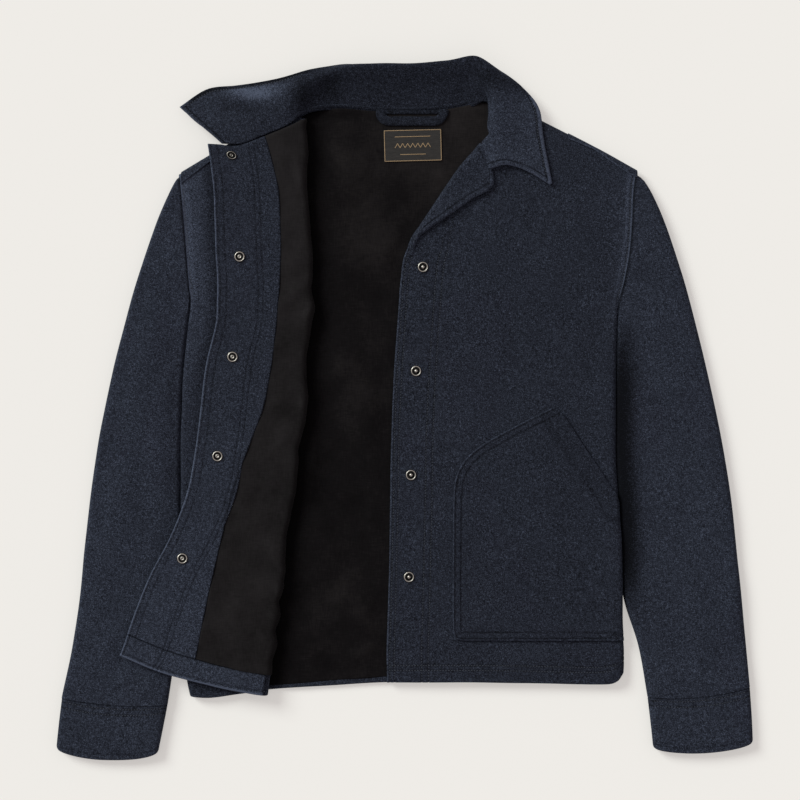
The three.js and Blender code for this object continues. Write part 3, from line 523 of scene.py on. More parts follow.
def panel(section, columns, rows, bottom, top, depths, turn=1, rolled=None, lead=0.0, free=()):
    """Both faces of a panel as grids. A column's level runs from where it meets the bottom
    edge to a turn's radius below the top edge, and then goes round a quarter circle, as far
    as rolled says. rows holds the distances above the hem, how many even rows follow and how
    many are in the turn. lead keeps the panel back from both edges, and the wall is rounded
    off along the edges named in free."""
    zone, t = columns
    near_hem, even, turns = rows
    low = np.full(len(t), -320.0)
    high = np.full(len(t), 320.0)
    for _ in range(12):
        low = bottom(zone, section(zone, t, low, 0.0)[0])
        high = top(zone, section(zone, t, high, 0.0)[0])
    share = np.zeros(len(t)) if rolled is None else rolled(zone, section(zone, t, high, 0.0)[0])
    low = low + lead
    base = high - lead - EDGE_RADIUS
    near_hem = np.asarray(near_hem, float)[:, None]
    first = low + near_hem
    rest = between(first[-1], base, np.linspace(0, 1, even + 1)[1:, None])
    flat_y = np.concatenate([first, rest])
    part = np.linspace(0, 1, turns + 1)[1:, None]
    reach = EDGE_RADIUS * part
    whole_y = np.concatenate([flat_y, base + reach])
    distances = {
        "hem": whole_y - low,
        "edge": np.where(zone == EDGE, t, FAR),
        "inner": np.where(zone == UPPER, t * INNER_REACH, FAR),
        "side": np.where(zone == ROLL, EDGE_RADIUS * t, FAR),
        "top": high - lead - whole_y,
    }
    near = np.full(whole_y.shape, FAR)
    for edge in free:
        near = np.minimum(near, distances[edge])
    angle = part * (np.pi / 2 - SEAM_ANGLE)
    faces = []
    for depth in rounded(near, *depths):
        deep = depth[len(flat_y):]
        x, z = section(zone, t, flat_y, depth[:len(flat_y)])
        base_z = section(zone, t, np.broadcast_to(base, deep.shape), deep)[1]
        radius = EDGE_RADIUS - deep
        turned_y = base + between(reach, radius * np.sin(angle), share)
        turned_z = between(base_z, EDGE_RADIUS + turn * radius * np.cos(angle), share)
        turned_x = section(zone, t, turned_y, deep)[0]
        faces.append(np.stack([np.concatenate([x, turned_x]), np.concatenate([flat_y, turned_y]),
                               np.concatenate([z, turned_z])], -1))
    return faces, near


def grid_quads(rows, columns, around):
    """Numbers of a grid's points, row by row, and its quads."""
    index = np.arange(rows * columns).reshape(rows, columns)
    if around:
        index = np.concatenate([index, index[:, :1]], axis=1)
    quads = np.stack([index[:-1, :-1], index[:-1, 1:], index[1:, 1:], index[1:, :-1]], -1)
    return index, quads.reshape(-1, 4)


def faces_between(rows, columns, around):
    """Faces of a closed wall between two grids of points that are numbered one after the
    other: both grids' quads, the second's turned over, and a rim along each open side."""
    count = rows * columns
    index, outer = grid_quads(rows, columns, around)
    lines = [index[0], index[-1, ::-1]]
    if not around:
        lines = lines + [index[:, -1], index[::-1, 0]]
    rims = [np.stack([line[1:], line[:-1], line[:-1] + count, line[1:] + count], -1)
            for line in lines]
    return np.concatenate([outer, outer[:, ::-1] + count, *rims])


def facing_out(points, quads, caps=()):
    """Quads and then caps as one list of faces, all turned over if the volume that the quads
    enclose comes out negative: a sixth of the sum of each triangle's corner times the cross of
    the other two."""
    placed = points - points.mean(0)
    volume = 0.0
    for corners in ([0, 1, 2], [0, 2, 3]):
        a, b, c = [placed[quads[:, k]] for k in corners]
        volume += (a * np.cross(b, c)).sum()
    way = -1 if volume < 0 else 1
    return quads[:, ::way].tolist() + [list(cap)[::way] for cap in caps]


def piece(name, points, faces, material, nodes=(), values=None):
    """A mesh in the frame's metres that rides on the jacket and stands for these CAD nodes.
    faces is a list, and values are numbers that its material reads at each point."""
    mesh = bpy.data.meshes.new(name)
    places = (points + ORIGIN) * MM
    mesh.from_pydata(places.tolist(), [], faces)
    mesh.update()
    mesh.polygons.foreach_set("use_smooth", np.ones(len(faces), bool))
    for title, numbers in (values or {}).items():
        attribute = mesh.attributes.new(title, "FLOAT", "POINT")
        attribute.data.foreach_set("value", np.asarray(numbers, np.float32).ravel())
    mesh.materials.append(material)
    made = bpy.data.objects.new(name, mesh)
    bpy.context.scene.collection.objects.link(made)
    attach(made, "root")
    if nodes:
        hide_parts(*nodes)
    return made


def cloth(name, outer, inner, relief, material, slot, nodes=(), around=False, tone=0.0, puff=0.0):
    """A cloth wall between two grids, both moved along the outer grid's normals by relief, and
    the outer one also by puff. tone paints light and shade into the outer face's colour, and a
    smaller share of it into the inner face's."""
    normal = ring_normals(outer) if around else normals_of(outer)
    if ((outer - inner) * normal).sum() < 0:
        normal = -normal
    push = relief[..., None] * normal
    swell = (relief + puff)[..., None] * normal
    rows, columns = outer.shape[:2]
    points = np.concatenate([(outer + swell).reshape(-1, 3), (inner + push).reshape(-1, 3)])
    faces = facing_out(points, faces_between(rows, columns, around))
    shade = np.broadcast_to(tone, outer.shape[:2]).ravel()
    values = {"tone": np.concatenate([shade, INNER_SHADE * shade])}
    return piece(name, points, faces, material, nodes, values)


def wool(node, faces, relief, tone=0.0, **rest):
    """A wall of wool that stands for one CAD node, with the seen face's grid first."""
    return cloth(f"{node}_wool", *faces, relief, WOOL, "wool", [node], tone=tone, **rest)


def stitch_frames(run, normal):
    """Middles, directions and normals of the stitches along a run of points."""
    length = lengths_along(run)
    count = max(int(length[-1] / STITCH_STEP), 1)
    at = (np.arange(count) + 0.5) * length[-1] / count
    ahead = picked(at + 0.5, length, run)
    behind = picked(at - 0.5, length, run)
    return picked(at, length, run), unit(ahead - behind), unit(picked(at, length, normal))


def stitching(name, runs):
    """One mesh of all the stitches along runs of (points, normals). A stitch is three rings
    of four points: narrow and low at both ends, wide and proud in the middle."""
    half = STITCH_STEP * 0.36
    along_at = np.repeat([-half, 0.0, half], 4)
    wide = np.repeat([0.5, 1.0, 0.5], 4) * np.tile([-1, 1, 0.6, -0.6], 3) * STITCH_WIDTH
    tall = np.repeat([0.12, 1.0, 0.12], 4) * STITCH_HEIGHT
    proud = np.where(np.tile([0, 0, 1, 1], 3) == 1, tall, -STITCH_DEPTH)
    points = []
    for run, normal in runs:
        middle, along, up = stitch_frames(run, normal)
        side = np.cross(up, along)
        stitch = (middle[:, None] + along[:, None] * along_at[None, :, None]
                  + side[:, None] * wide[None, :, None] + up[:, None] * proud[None, :, None])
        points.append(stitch.reshape(-1, 3))
    points = np.concatenate(points)
    ring = np.arange(4)
    turned = (ring + 1) % 4
    walls = [np.stack([ring + k, turned + k, turned + k + 4, ring + k + 4], -1) for k in (0, 4)]
    shape = np.concatenate([*walls, [[3, 2, 1, 0]], [[8, 9, 10, 11]]])
    quads = (np.arange(len(points) // 12)[:, None, None] * 12 + shape).reshape(-1, 4)
    piece(name, points, facing_out(points, quads), THREAD)


def upright(x, y, z):
    """A run of points with normals that point straight up."""
    run = np.stack(np.broadcast_arrays(x, y, z), -1).astype(float)
    normal = np.zeros_like(run)
    normal[:, 2] = 1
    return run, normal


def polyline(points, step=2.0):
    """Points about a step apart along straight runs between the given ones."""
    points = np.asarray(points, float)
    length = lengths_along(points)
    at = np.linspace(0, length[-1], max(int(length[-1] / step), 2) + 1)
    return picked(at, length, points)


def away_from(x, y, line):
    """Distance of each point from a polyline, the least of those from its straight parts."""
    least = np.full(np.broadcast(x, y).shape, 1e6)
    for start, end in zip(line[:-1], line[1:]):
        least = np.minimum(least, np.hypot(*beside(x, y, *start, *end)[1:]))
    return least


def arithmetic(operation):
    """An operator of the class Wire, as a method."""
    return lambda wire, other: wire.worked(operation, other)


class Wire:
    """An output of a material's node. Arithmetic on it adds Math nodes."""

    def __init__(self, finish, socket):
        self.finish = finish
        self.socket = socket

    def worked(self, operation, other):
        """Adds a Math node that works on this wire and another value."""
        return self.finish.node("ShaderNodeMath", {"operation": operation}, {0: self, 1: other})

    __add__ = __radd__ = arithmetic("ADD")
    __sub__ = arithmetic("SUBTRACT")
    __mul__ = __rmul__ = arithmetic("MULTIPLY")

    def clipped(self):
        """The same, held between nothing and one."""
        return self.worked("MAXIMUM", 0.0).worked("MINIMUM", 1.0)


class Finish:
    """A material that is built node by node, on Object coordinates."""

    def __init__(self, name):
        self.material = bpy.data.materials.new(name)
        self.material.use_nodes = True
        self.tree = self.material.node_tree
        self.tree.nodes.clear()
        self.place = self.node("ShaderNodeTexCoord", output="Object")

    def node(self, kind, settings=None, inputs=None, output=0):
        """Adds a node: its settings or a ramp's stops first, then values or wires."""
        made = self.tree.nodes.new(kind)
        for title, value in (settings or {}).items():
            if title == "stops":
                ramp = made.color_ramp
                while len(ramp.elements) < len(value):
                    ramp.elements.new(0.5)
                for element, (position, colour) in zip(ramp.elements, value):
                    element.position = position
                    element.color = (*colour, 1)
            else:
                setattr(made, title, value)
        for title, value in (inputs or {}).items():
            if isinstance(value, Wire):
                self.tree.links.new(value.socket, made.inputs[title])
            else:
                made.inputs[title].default_value = value
        return Wire(self, made.outputs[output])

    def noise(self, size, detail=2.0, rough=0.5, stretch=(1, 1, 1), turn=0.0):
        """Noise whose features are about size metres, on coordinates stretched and turned."""
        mapped = self.node("ShaderNodeMapping", None, {
            "Vector": self.place, "Scale": stretch, "Rotation": (0, 0, turn)})
        return self.node("ShaderNodeTexNoise", None, {
            "Vector": mapped, "Scale": 1 / size, "Detail": detail, "Roughness": rough})

    def blended(self, share, first, second):
        """Colour that goes from first to second as share goes from nothing to one."""
        return self.node("ShaderNodeMix", {"data_type": "RGBA"}, {0: share, 6: first, 7: second},
                         output=2)

    def ramp(self, value, stops):
        """Colour at a value on a ramp of stops, each a position and a colour."""
        return self.node("ShaderNodeValToRGB", {"stops": stops}, {"Fac": value})

    def bump(self, height, strength, distance, below=None):
        """Normals of a surface that height raises by distance metres, over those of below."""
        inputs = {"Height": height, "Strength": strength, "Distance": distance}
        if below is not None:
            inputs["Normal"] = below
        return self.node("ShaderNodeBump", None, inputs)

    def surface(self, **sockets):
        """Closes the material with one shader. Names stand for the shader's own sockets."""
        inputs = {title.replace("_", " "): value for title, value in sockets.items()}
        shader = self.node("ShaderNodeBsdfPrincipled", None, inputs)
        output = self.tree.nodes.new("ShaderNodeOutputMaterial")
        self.tree.links.new(shader.socket, output.inputs["Surface"])
        return self.material


# The wool's contrast, its middle on the ramp, and how much the points' tone, painted light and
# shade, moves along it
WOOL_CONTRAST = 3.95
WOOL_MIDDLE = 0.475
PAINTED_LIGHT_SHARE = 0.42


def napped_wool(name, dark, mean, light):
    """Milled wool: dark and light-blue fibres mixed into a navy ground, with a soft nap. The
    points' tone paints light and shade into it."""
    finish = Finish(name)
    tone = finish.node("ShaderNodeAttribute", {"attribute_name": "tone"}, output="Fac")
    flecks = finish.noise(0.00088, rough=0.6)
    fibres = finish.noise(0.0016, rough=0.6, stretch=(1.0, 0.4, 1.0), turn=0.5)
    hairs = finish.noise(0.0016, rough=0.6, stretch=(0.4, 1.0, 1.0), turn=0.9)
    clouds = finish.noise(0.045, detail=3.0)
    mixed = flecks * 0.6 + fibres * 0.2 + hairs * 0.2 - 0.5
    heather = mixed * WOOL_CONTRAST + WOOL_MIDDLE + (clouds - 0.5) * 0.14 + tone * PAINTED_LIGHT_SHARE
    deep = tuple(0.36 * part for part in dark)
    pale = tuple(1.7 * part for part in light)
    stops = [(0.0, deep), (0.14, dark), (0.5, mean), (0.86, light), (1.0, pale)]
    colour = finish.ramp(heather.clipped(), stops)
    pile = finish.bump(flecks, 0.5, 0.0007)
    felt = finish.bump(fibres + hairs, 0.35, 0.0009, pile)
    return finish.surface(
        Base_Color=colour, Roughness=(heather * 0.1 + 0.86).clipped(), Specular_IOR_Level=0.05,
        Sheen_Weight=0.06, Sheen_Roughness=0.4, Sheen_Tint=(0.55, 0.7, 1.0, 1), Normal=felt)


def brushed_lining(name, stops, middle=0.5, grain=1.3, bloom=1.3):
    """Brushed charcoal lining: a fine cross weave under a faint, clouded bloom. The points'
    tone paints light and shade into it."""
    finish = Finish(name)
    warp = finish.noise(0.0011, detail=1.0, stretch=(1.0, 0.12, 1.0))
    weft = finish.noise(0.0011, detail=1.0, stretch=(0.12, 1.0, 1.0))
    clouds = finish.noise(0.03, detail=4.0, rough=0.55)
    weave = warp * 0.5 + weft * 0.5
    shade = finish.node("ShaderNodeAttribute", {"attribute_name": "tone"}, output="Fac")
    tone = (weave - 0.5) * grain + (clouds - 0.5) * bloom + shade * 0.5 + middle
    colour = finish.ramp(tone.clipped(), stops)
    cloth_bump = finish.bump(weave, 0.28, 0.0005)
    return finish.surface(
        Base_Color=colour, Roughness=(0.7 + clouds * 0.16).clipped(), Specular_IOR_Level=0.03,
        Sheen_Weight=0.012, Sheen_Roughness=0.5, Normal=cloth_bump)


def thread(name, colour):
    """Twisted sewing thread with a slight gloss."""
    finish = Finish(name)
    twist = finish.noise(0.0009, detail=1.0)
    darker = tuple(0.55 * part for part in colour)
    tone = finish.ramp(twist, [(0.25, darker), (0.75, colour)])
    return finish.surface(Base_Color=tone, Roughness=0.62 + 0.1 * twist, Specular_IOR_Level=0.3)


def aged_nickel(name):
    """Antiqued nickel: bright on the raised rings, dark with patina in the grooves and with
    painted shade where the points say so, finely scuffed.
    """
    finish = Finish(name)
    groove = finish.node("ShaderNodeAttribute", {"attribute_name": "groove"}, output="Fac")
    scuffs = finish.noise(0.0014, detail=4.0, rough=0.7)
    dark_share = (groove + (scuffs - 0.5) * 0.35).clipped()
    colour = finish.blended(dark_share, (0.50, 0.47, 0.42, 1), (0.010, 0.009, 0.009, 1))
    return finish.surface(
        Base_Color=colour, Metallic=1.0, Roughness=(0.3 + dark_share * 0.3 + scuffs * 0.15).clipped())


def woven_label(name, dark, light):
    """Woven label ground: fine rows of yarn."""
    finish = Finish(name)
    rows = finish.noise(0.0009, detail=1.0, stretch=(0.15, 1.0, 1.0))
    tone = finish.ramp(rows, [(0.25, dark), (0.75, light)])
    return finish.surface(
        Base_Color=tone, Roughness=0.55 + 0.15 * rows, Specular_IOR_Level=0.3,
        Normal=finish.bump(rows, 0.35, 0.0004))


WOOL = napped_wool("navy_wool", (0.0070, 0.0078, 0.0114), (0.0150, 0.0172, 0.0255),
                   (0.0370, 0.0440, 0.0635))
INSIDE_LINING = brushed_lining("charcoal_lining", [
    (0.1, (0.0072, 0.0064, 0.0066)), (0.9, (0.0152, 0.0136, 0.0142))])
# The back's lining is the inside lining's cloth made darker as painted shade, with a paler end to
# its ramp for painted light
BACK_LINING = brushed_lining("shaded_lining", [
    (0.0, (0.0020, 0.0016, 0.0018)), (0.4, (0.0052, 0.0044, 0.0048)),
    (1.0, (0.0165, 0.0143, 0.0143))], middle=0.4, grain=0.75, bloom=0.7)
THREAD = thread("navy_thread", (0.056, 0.064, 0.084))
METAL = aged_nickel("aged_nickel")
LABEL_CLOTH = woven_label("label_ground", (0.010, 0.0088, 0.008), (0.022, 0.0195, 0.0175))
LABEL_YARN = thread("tan_yarn", (0.42, 0.29, 0.16))

# Creases, each x0, y0, x1, y1, width and height, placed as the photograph shows them
FRONT_CREASES = [
    (250, 118, 205, 70, 15, -0.7), (248, 150, 190, 120, 22, 0.6), (120, 300, 150, 200, 24, -0.5),
    (200, 260, 215, 160, 26, 0.6), (30, 120, 120, 60, 40, 0.5), (20, -30, 60, -120, 26, -0.4),
    (35, -180, 40, -300, 16, -0.4), (150, 60, 240, 10, 30, -0.5), (70, 180, 100, 60, 30, -0.45),
]
SHOULDER_CREASES = [
    (-243, 280, -240, 160, 9, 0.8), (-254, 262, -251, 170, 5, -0.5),
    (-236, 150, -246, 60, 8, -0.5), (-252, 100, -262, 40, 6, -0.5),
]
FLAP_CREASES = [
    (-190, 250, -175, 120, 26, -0.35), (-160, 20, -200, -60, 30, 0.35),
    (-230, -120, -300, -230, 28, -0.35), (-170, -200, -230, -290, 22, 0.3),
]
LINING_PUCKERS = [
    (-140, 120, -118, 150, 7, 0.55), (-118, 100, -108, 128, 5, 0.7),
    (-122, 12, -116, -16, 5, 0.6), (-160, -20, -124, 14, 8, -0.4), (-165, -60, -135, -30, 7, 0.4),
    (-182, -110, -140, -88, 8, -0.5), (-165, -150, -142, -196, 6, 0.5),
    (-152, -205, -147, -222, 4, 0.7), (-160, -238, -150, -252, 4, 0.8),
    (-175, -262, -154, -282, 5, 0.7), (-218, -255, -170, -270, 6, -0.5),
    (-200, -225, -178, -248, 7, 0.5), (-150, 230, -118, 250, 9, -0.4),
    (-128, 300, -120, 250, 5, 0.6), (-150, 310, -140, 270, 8, 0.4),
]
BACK_FOLDS = [
    (-95, 330, -40, 250, 14, 0.9), (-20, 285, 30, 205, 20, -0.9), (-70, 240, -10, 150, 24, 0.8),
    (-60, 346, 20, 340, 6, -0.5), (-98, 345, -60, 342, 5, -0.6), (-90, 60, -20, -10, 28, 0.7),
    (-110, -60, -40, -140, 26, -0.7), (-90, -200, -30, -260, 20, 0.8),
    (-70, -300, -25, -275, 9, 0.7), (-110, -300, -60, -306, 10, -0.5),
    (20, 300, 60, 250, 14, 0.7),
]
LEFT_SLEEVE_CREASES = [
    (262, 96, 312, 40, 12, -1.0), (258, 60, 300, -20, 16, 0.8), (275, 200, 300, 110, 16, -0.7),
    (300, 215, 330, 130, 14, 0.7), (336, -150, 372, -205, 11, 0.9),
    (348, -205, 384, -240, 9, -0.8), (330, -222, 366, -262, 9, 0.8),
    (340, -262, 372, -312, 8, 0.8), (306, -236, 330, -310, 11, -0.7),
    (392, -190, 384, -280, 7, 0.7), (296, -300, 322, -332, 8, 0.7),
    (290, -60, 300, -190, 22, -0.6), (352, 20, 366, -130, 14, 0.8),
]
RIGHT_SLEEVE_CREASES = [
    (-264, 90, -300, 20, 12, -0.9), (-290, 150, -315, 20, 14, 0.8),
    (-318, 10, -338, -160, 15, 0.9), (-300, -60, -312, -200, 18, -0.7),
    (-342, -150, -372, -262, 12, 0.7), (-292, -205, -330, -262, 10, 0.8),
    (-300, -262, -352, -318, 9, -0.8), (-330, -250, -372, -310, 9, 0.7),
    (-384, -290, -362, -336, 7, 0.7), (-290, -318, -318, -346, 7, 0.6),
]
CUFF_CREASES = [
    (300, -350, 306, -392, 7, 0.5), (352, -352, 346, -398, 8, -0.5),
    (388, -340, 392, -386, 6, 0.5), (-300, -362, -306, -400, 7, 0.5),
    (-352, -362, -346, -402, 8, -0.5), (-390, -356, -394, -398, 6, 0.5),
]
COLLAR_CREASES = [
    (-222, 358, -150, 360, 12, -2.2), (-226, 372, -160, 378, 9, 1.6),
    (-132, 342, -120, 392, 13, 2.2), (-98, 358, -88, 400, 12, -1.8),
    (-60, 376, 70, 378, 10, -0.6), (98, 380, 128, 350, 11, 1.4), (118, 334, 150, 296, 14, -1.0),
    (-240, 330, -254, 350, 12, 0.9), (66, 368, 84, 402, 10, -1.0),
]
# The next two are not lifted: they give the collar a painted highlight on its wing's lit crease and
# painted shade, in the form of creases
WING_LIT = [(-216, 376, -156, 368, 8, 1.3), (-186, 370, -136, 378, 8, 0.8)]
COLLAR_SHADES = [
    (-128, 348, -116, 392, 13, -0.8), (-92, 362, -84, 398, 12, -0.5),
    (-222, 356, -164, 354, 11, -0.4), (86, 380, 104, 400, 16, -0.5),
]
POCKET_CREASES = [
    (90, -80, 150, -140, 26, 0.5), (180, -60, 215, -150, 24, -0.5),
    (110, -200, 220, -240, 30, 0.5), (72, -230, 78, -120, 10, -0.35),
]


def lower_leg_lie(x, y):
    """Lie of the right front's lower leg, which its shoulder strip and stitching share."""
    return creases(x, y, SHOULDER_CREASES) + swells(x, y, 6, 60, 0.3)


def armhole_channel(distance, y):
    """Channel of the stitching beside an armhole's seam, above the underarm."""
    return grooves(distance, (ARMHOLE_ROW,)) * smooth(y, UNDERARM - 4, UNDERARM + 8)


def front_edge_x(y):
    """The left front's free edge, carried on in a straight line under the lapel."""
    return level(np.minimum(y, LAPEL_FOOT), "front_edge") + 0.16 * np.maximum(y - LAPEL_FOOT, 0)


# Front left: free edge with its placket, hem, pocket side and armhole
front_columns = joined_columns(
    (EDGE, edge_offsets(FRONT_ROWS + PLACKET_ROWS, EDGE_BAND - 0.5)),
    (UPPER, np.linspace(0, 1, 66)), (ROLL, np.linspace(1, 0, 8)[1:]))
front_rows = (edge_offsets(HEM_ROWS, 27), 206, 7)
# Where the lapel comes over the rows at the edge and over those of the placket
EDGE_COVERED = (195, 208)
PLACKET_COVERED = (225, 245)
SIDE_FULLNESS = 1.1
FULLEST_AT = 12.0


def front_channels(x, y):
    """Channels of the left front's stitching: edge, placket, hem and armhole."""
    from_edge = x - front_edge_x(y)
    rows = grooves(from_edge, FRONT_ROWS) * (1 - smooth(y, *EDGE_COVERED))
    rows = rows + grooves(from_edge, PLACKET_ROWS) * (1 - smooth(y, *PLACKET_COVERED))
    rows = rows + grooves(y - across(HEM, x), HEM_ROWS)
    return rows + armhole_channel(level(y, "side_left") - x, y)


def front_relief(x, y):
    """Lie of the left front: creases, an uneven sag, fuller by its side, and its channels."""
    from_side = level(y, "side_left") - x
    full = SIDE_FULLNESS * bell(from_side - FULLEST_AT, FULLEST_AT) * (1 - smooth(y, 60, 130))
    return creases(x, y, FRONT_CREASES) + swells(x, y, 4, 90, 0.45) + full + front_channels(x, y)


front_faces, front_near = panel(
    left_section, front_columns, front_rows, edge_at(HEM), edge_at(BACK_TOP), (0.0, SHELL),
    rolled=lambda zone, x: np.ones(np.shape(x)), free=("hem", "edge", "side"))
front_x, front_y = plan(front_faces[0])
front_lie = front_relief(front_x, front_y)
front_side = level(front_y, "side_left") - front_x


def armhole_highlight(distance, y):
    """Painted highlight beside the armhole's seam, in two bands with its stitching between them."""
    bands = bells(distance, [(1.6, 1.9, 1.0), (7.4, 2.2, 0.5)])
    return (bands + 0.2 * bell(distance, 22)) * smooth(y, UNDERARM - 40, UNDERARM + 40)


# Painted highlight at the free edges and beside the armhole, painted shade in the channels, and a
# little darker all over
front_tone = tones(front_near, front_channels(front_x, front_y)) - FRONT_DARK
front_tone = front_tone + ARMHOLE_HIGHLIGHT["left"] * armhole_highlight(front_side, front_y)
front_left = wool("front_left", front_faces, front_lie, front_tone)


def front_top(x, y):
    """Height of the left front's face with its lie."""
    return left_height(x, y) + front_relief(x, y)


# Back, whose outer side lies on the surface, and its lining between the open fronts
back_columns = joined_columns((ROLL, np.linspace(0, 1, 8)), (LOWER, np.linspace(0, 1, 116)[1:-1]),
                              (EDGE, np.linspace(1, 0, 8)))


def shoulder_turn(zone, x):
    """The back turns up at both shoulders and stays flat across the neck, whose middle lies a
    little more to the right for the right shoulder than for the left."""
    neck_middle = np.where(x > 0, 4, -20)
    return smooth(np.abs(x - neck_middle), 98, 112)


back_faces, back_near = panel(
    back_section, back_columns, ([0, 0.3, 0.8, 1.5, 2.6, 5, 9], 150, 7), edge_at(HEM),
    edge_at(BACK_TOP), (0.0, SHELL), turn=-1, rolled=shoulder_turn, free=("hem",))
# Painted highlight along the back's hem
back = wool("back", back_faces, np.zeros(back_near.shape), tones(back_near, 0))

lining_columns = joined_columns((UPPER, np.linspace(0, 1, 82)))
lining_faces, _ = panel(
    back_section, lining_columns, ([0, 0.2, 0.5, 0.9, 2, 4], 230, 3), edge_at(BACK_LINING_HEM),
    edge_at(BACK_LINING_TOP), (UNDER_LINING, LINING_FACE), free=("hem",))


# The flat place under the label and the loop, from its middle, and the most that the lining
# sinks and its mean rise
FLAT_PLACE = (44, 34)
LOOP_SIDE = 8
LINING_SINK = 0.6
LINING_RISE = 0.75


def back_lining_relief(x, y):
    """Lie of the back's lining: broad folds that rise from the cloth under them, in the open
    part only, and flat under the label and the loop."""
    clear = smooth(x - level(y, "fold"), 0, 22) * smooth(level(y, "front_edge") - x, 2, 26)
    beyond_x = np.maximum(np.abs(x - LABEL_AT[0]) - FLAT_PLACE[0], 0)
    beyond_y = np.maximum(np.abs(y - LABEL_AT[1] - LOOP_SIDE) - FLAT_PLACE[1], 0)
    clear = clear * smooth(np.hypot(beyond_x, beyond_y), 0, 14)
    folds = creases(x, y, BACK_FOLDS) * 3.2 + swells(x, y, 11, 90, 1.6)
    return np.maximum((folds + LINING_SINK) * clear, -LINING_SINK) + LINING_RISE


# The lining's own face is the one away from the wool, so that grid comes first
lining_x, lining_y = plan(lining_faces[1])
lining_lie = back_lining_relief(lining_x, lining_y)
# Painted light and shade on the back's lining: paler towards the neck, and painted light on its
# folds' ridges and painted shade in their hollows
lining_tone = 0.18 * smooth(lining_y, 120, 260) + 0.4 * creases(lining_x, lining_y, BACK_FOLDS)
# Painted shadow beside the fold, and painted light under the neck on the left front's side:
# how much, and where that comes in across and up the body
FOLD_SHADE = 0.85
LINING_PAINTED_LIGHT = [(0.36, (-60, 20), (180, 280)), (0.2, (30, 90), (250, 320))]
lining_tone = lining_tone - FOLD_SHADE * bell(lining_x - fold_line(lining_y), 24)
for light_strength, x_range, y_range in LINING_PAINTED_LIGHT:
    painted_light_there = light_strength * smooth(lining_x, *x_range) * smooth(lining_y, *y_range)
    lining_tone = lining_tone + painted_light_there
back_lining = cloth("back_lining_cloth", *lining_faces[::-1], lining_lie, BACK_LINING, "lining",
                    ["back_lining"], tone=lining_tone)


# Right front, folded open over itself. Its shoulder's turn ends between these
TURN_ENDS = (-155, -134)


def right_turn(zone, x):
    """The right front turns down at the shoulder, and no longer does at the neck."""
    return np.where(flap_zone(zone), 0.0, 1 - smooth(x, *TURN_ENDS))


flap_offsets = edge_offsets((), EDGE_BAND - 0.5, 4.0)[::-1]
right_columns = joined_columns(
    (ROLL, np.linspace(0, 1, 8)), (LOWER, np.linspace(0, 1, 42)[1:]),
    (BEND, np.linspace(0, 1, 14)[1:]), (UPPER, np.linspace(0, 1, 26)[1:]), (EDGE, flap_offsets))
right_faces, right_near = panel(
    right_section, right_columns, ([0, 0.2, 0.5, 0.9, 1.4, 2.2, 4, 7], 186, 7),
    edge_by_part(FLAP_HEM, HEM), edge_by_part(FLAP_NECK, RIGHT_SHOULDER), (0.0, SHELL),
    rolled=right_turn, free=("hem", "edge", "side"))


def flap_relief(x, y):
    """Lie of the turned-back front, shared by every layer of it."""
    return creases(x, y, FLAP_CREASES) + swells(x, y, 21, 80, 0.25)


right_x, right_y = plan(right_faces[0])
on_flap = flap_zone(right_columns[0])[None, :]
armhole_right = right_x - level(right_y, "side_right")
lower_lie = lower_leg_lie(right_x, right_y) + armhole_channel(armhole_right, right_y)
# The flap's wool face looks down, so what lifts the layers is a negative push on it
bend_share = np.where(right_columns[0] == BEND, right_columns[1], 1.0)[None, :]
right_lie = np.where(on_flap, -flap_relief(right_x, right_y) * bend_share, lower_lie)
# Painted light on the right front: a highlight beside the armhole and along the free edges, painted
# light on the lower leg with a painted shadow where the flap's edge hangs over it, and a highlight
# along the flap's hem
right_armhole_highlight = ARMHOLE_HIGHLIGHT["right"] * armhole_highlight(armhole_right, right_y)
right_tone = 0.5 * bell(right_near) + right_armhole_highlight * ~on_flap
flap_over = level(right_y, "flap_edge") - right_x
lower_leg_light_and_shadow = FLAP_GLOW - 0.6 * bell(flap_over - 2, 9)
right_tone = right_tone + lower_leg_light_and_shadow * ~on_flap * smooth(right_y, -60, 100)
flap_under = right_y - across(FLAP_HEM, right_x)
right_tone = right_tone + 1.6 * bell(flap_under, 1.6) * on_flap
front_right = wool("front_right", right_faces, right_lie, right_tone)


def layer_section(start):
    """Section of the turned-back front's facing or lining."""
    return lambda zone, t, y, depth: right_section(zone, t, y, depth, start)


facing_offsets = edge_offsets(FACING_ROWS + FACING_PLACKET_ROWS, EDGE_BAND - 0.5)[::-1]
facing_columns = joined_columns((UPPER, [0, 0.01, 0.03, 0.06, 0.12, 0.24, 0.4, 0.6, 0.8, 1]),
                                (EDGE, facing_offsets))
facing_faces, _ = panel(
    layer_section("facing"), facing_columns, ([0, 0.2, 0.5, 0.9, 1.6, 3, 5], 206, 2),
    edge_at(FLAP_BAND), edge_at(FLAP_NECK), (UNDER_LINING, FACING_FACE), lead=GAP,
    free=("hem", "edge", "inner", "top"))


def facing_channels(x, y):
    """Channels of the facing's stitching."""
    return grooves(x - level(y, "flap_edge"), FACING_ROWS + FACING_PLACKET_ROWS)


def facing_relief(x, y):
    """Lie of the facing: the flap's own, and the channels of its stitching."""
    return flap_relief(x, y) + facing_channels(x, y)


facing_x, facing_y = plan(facing_faces[1])
facing_lie = facing_relief(facing_x, facing_y)


def flap_tone(x, y, channels):
    """Tone of the flap's wool: a painted highlight on the free edge, painted shade in the
    channels, and paler towards the hem.
    """
    from_edge = x - level(y, "flap_edge")
    return 1.3 * bell(from_edge) + 1.2 * channels + FLAP_GLOW * (1 - smooth(y, -300, 150))


# Painted highlight at the facing's free edge, painted shade in its channels and at its seams, and
# paler towards the hem
facing_tone = flap_tone(facing_x, facing_y, facing_channels(facing_x, facing_y))
facing_tone = facing_tone + seam_shade(facing_y - across(FLAP_BAND, facing_x))
facing_tone = facing_tone + seam_shade(level(facing_y, "facing_edge") - facing_x, 0.8)
facing_right = wool("facing_right", facing_faces[::-1], facing_lie, facing_tone, puff=0.3)


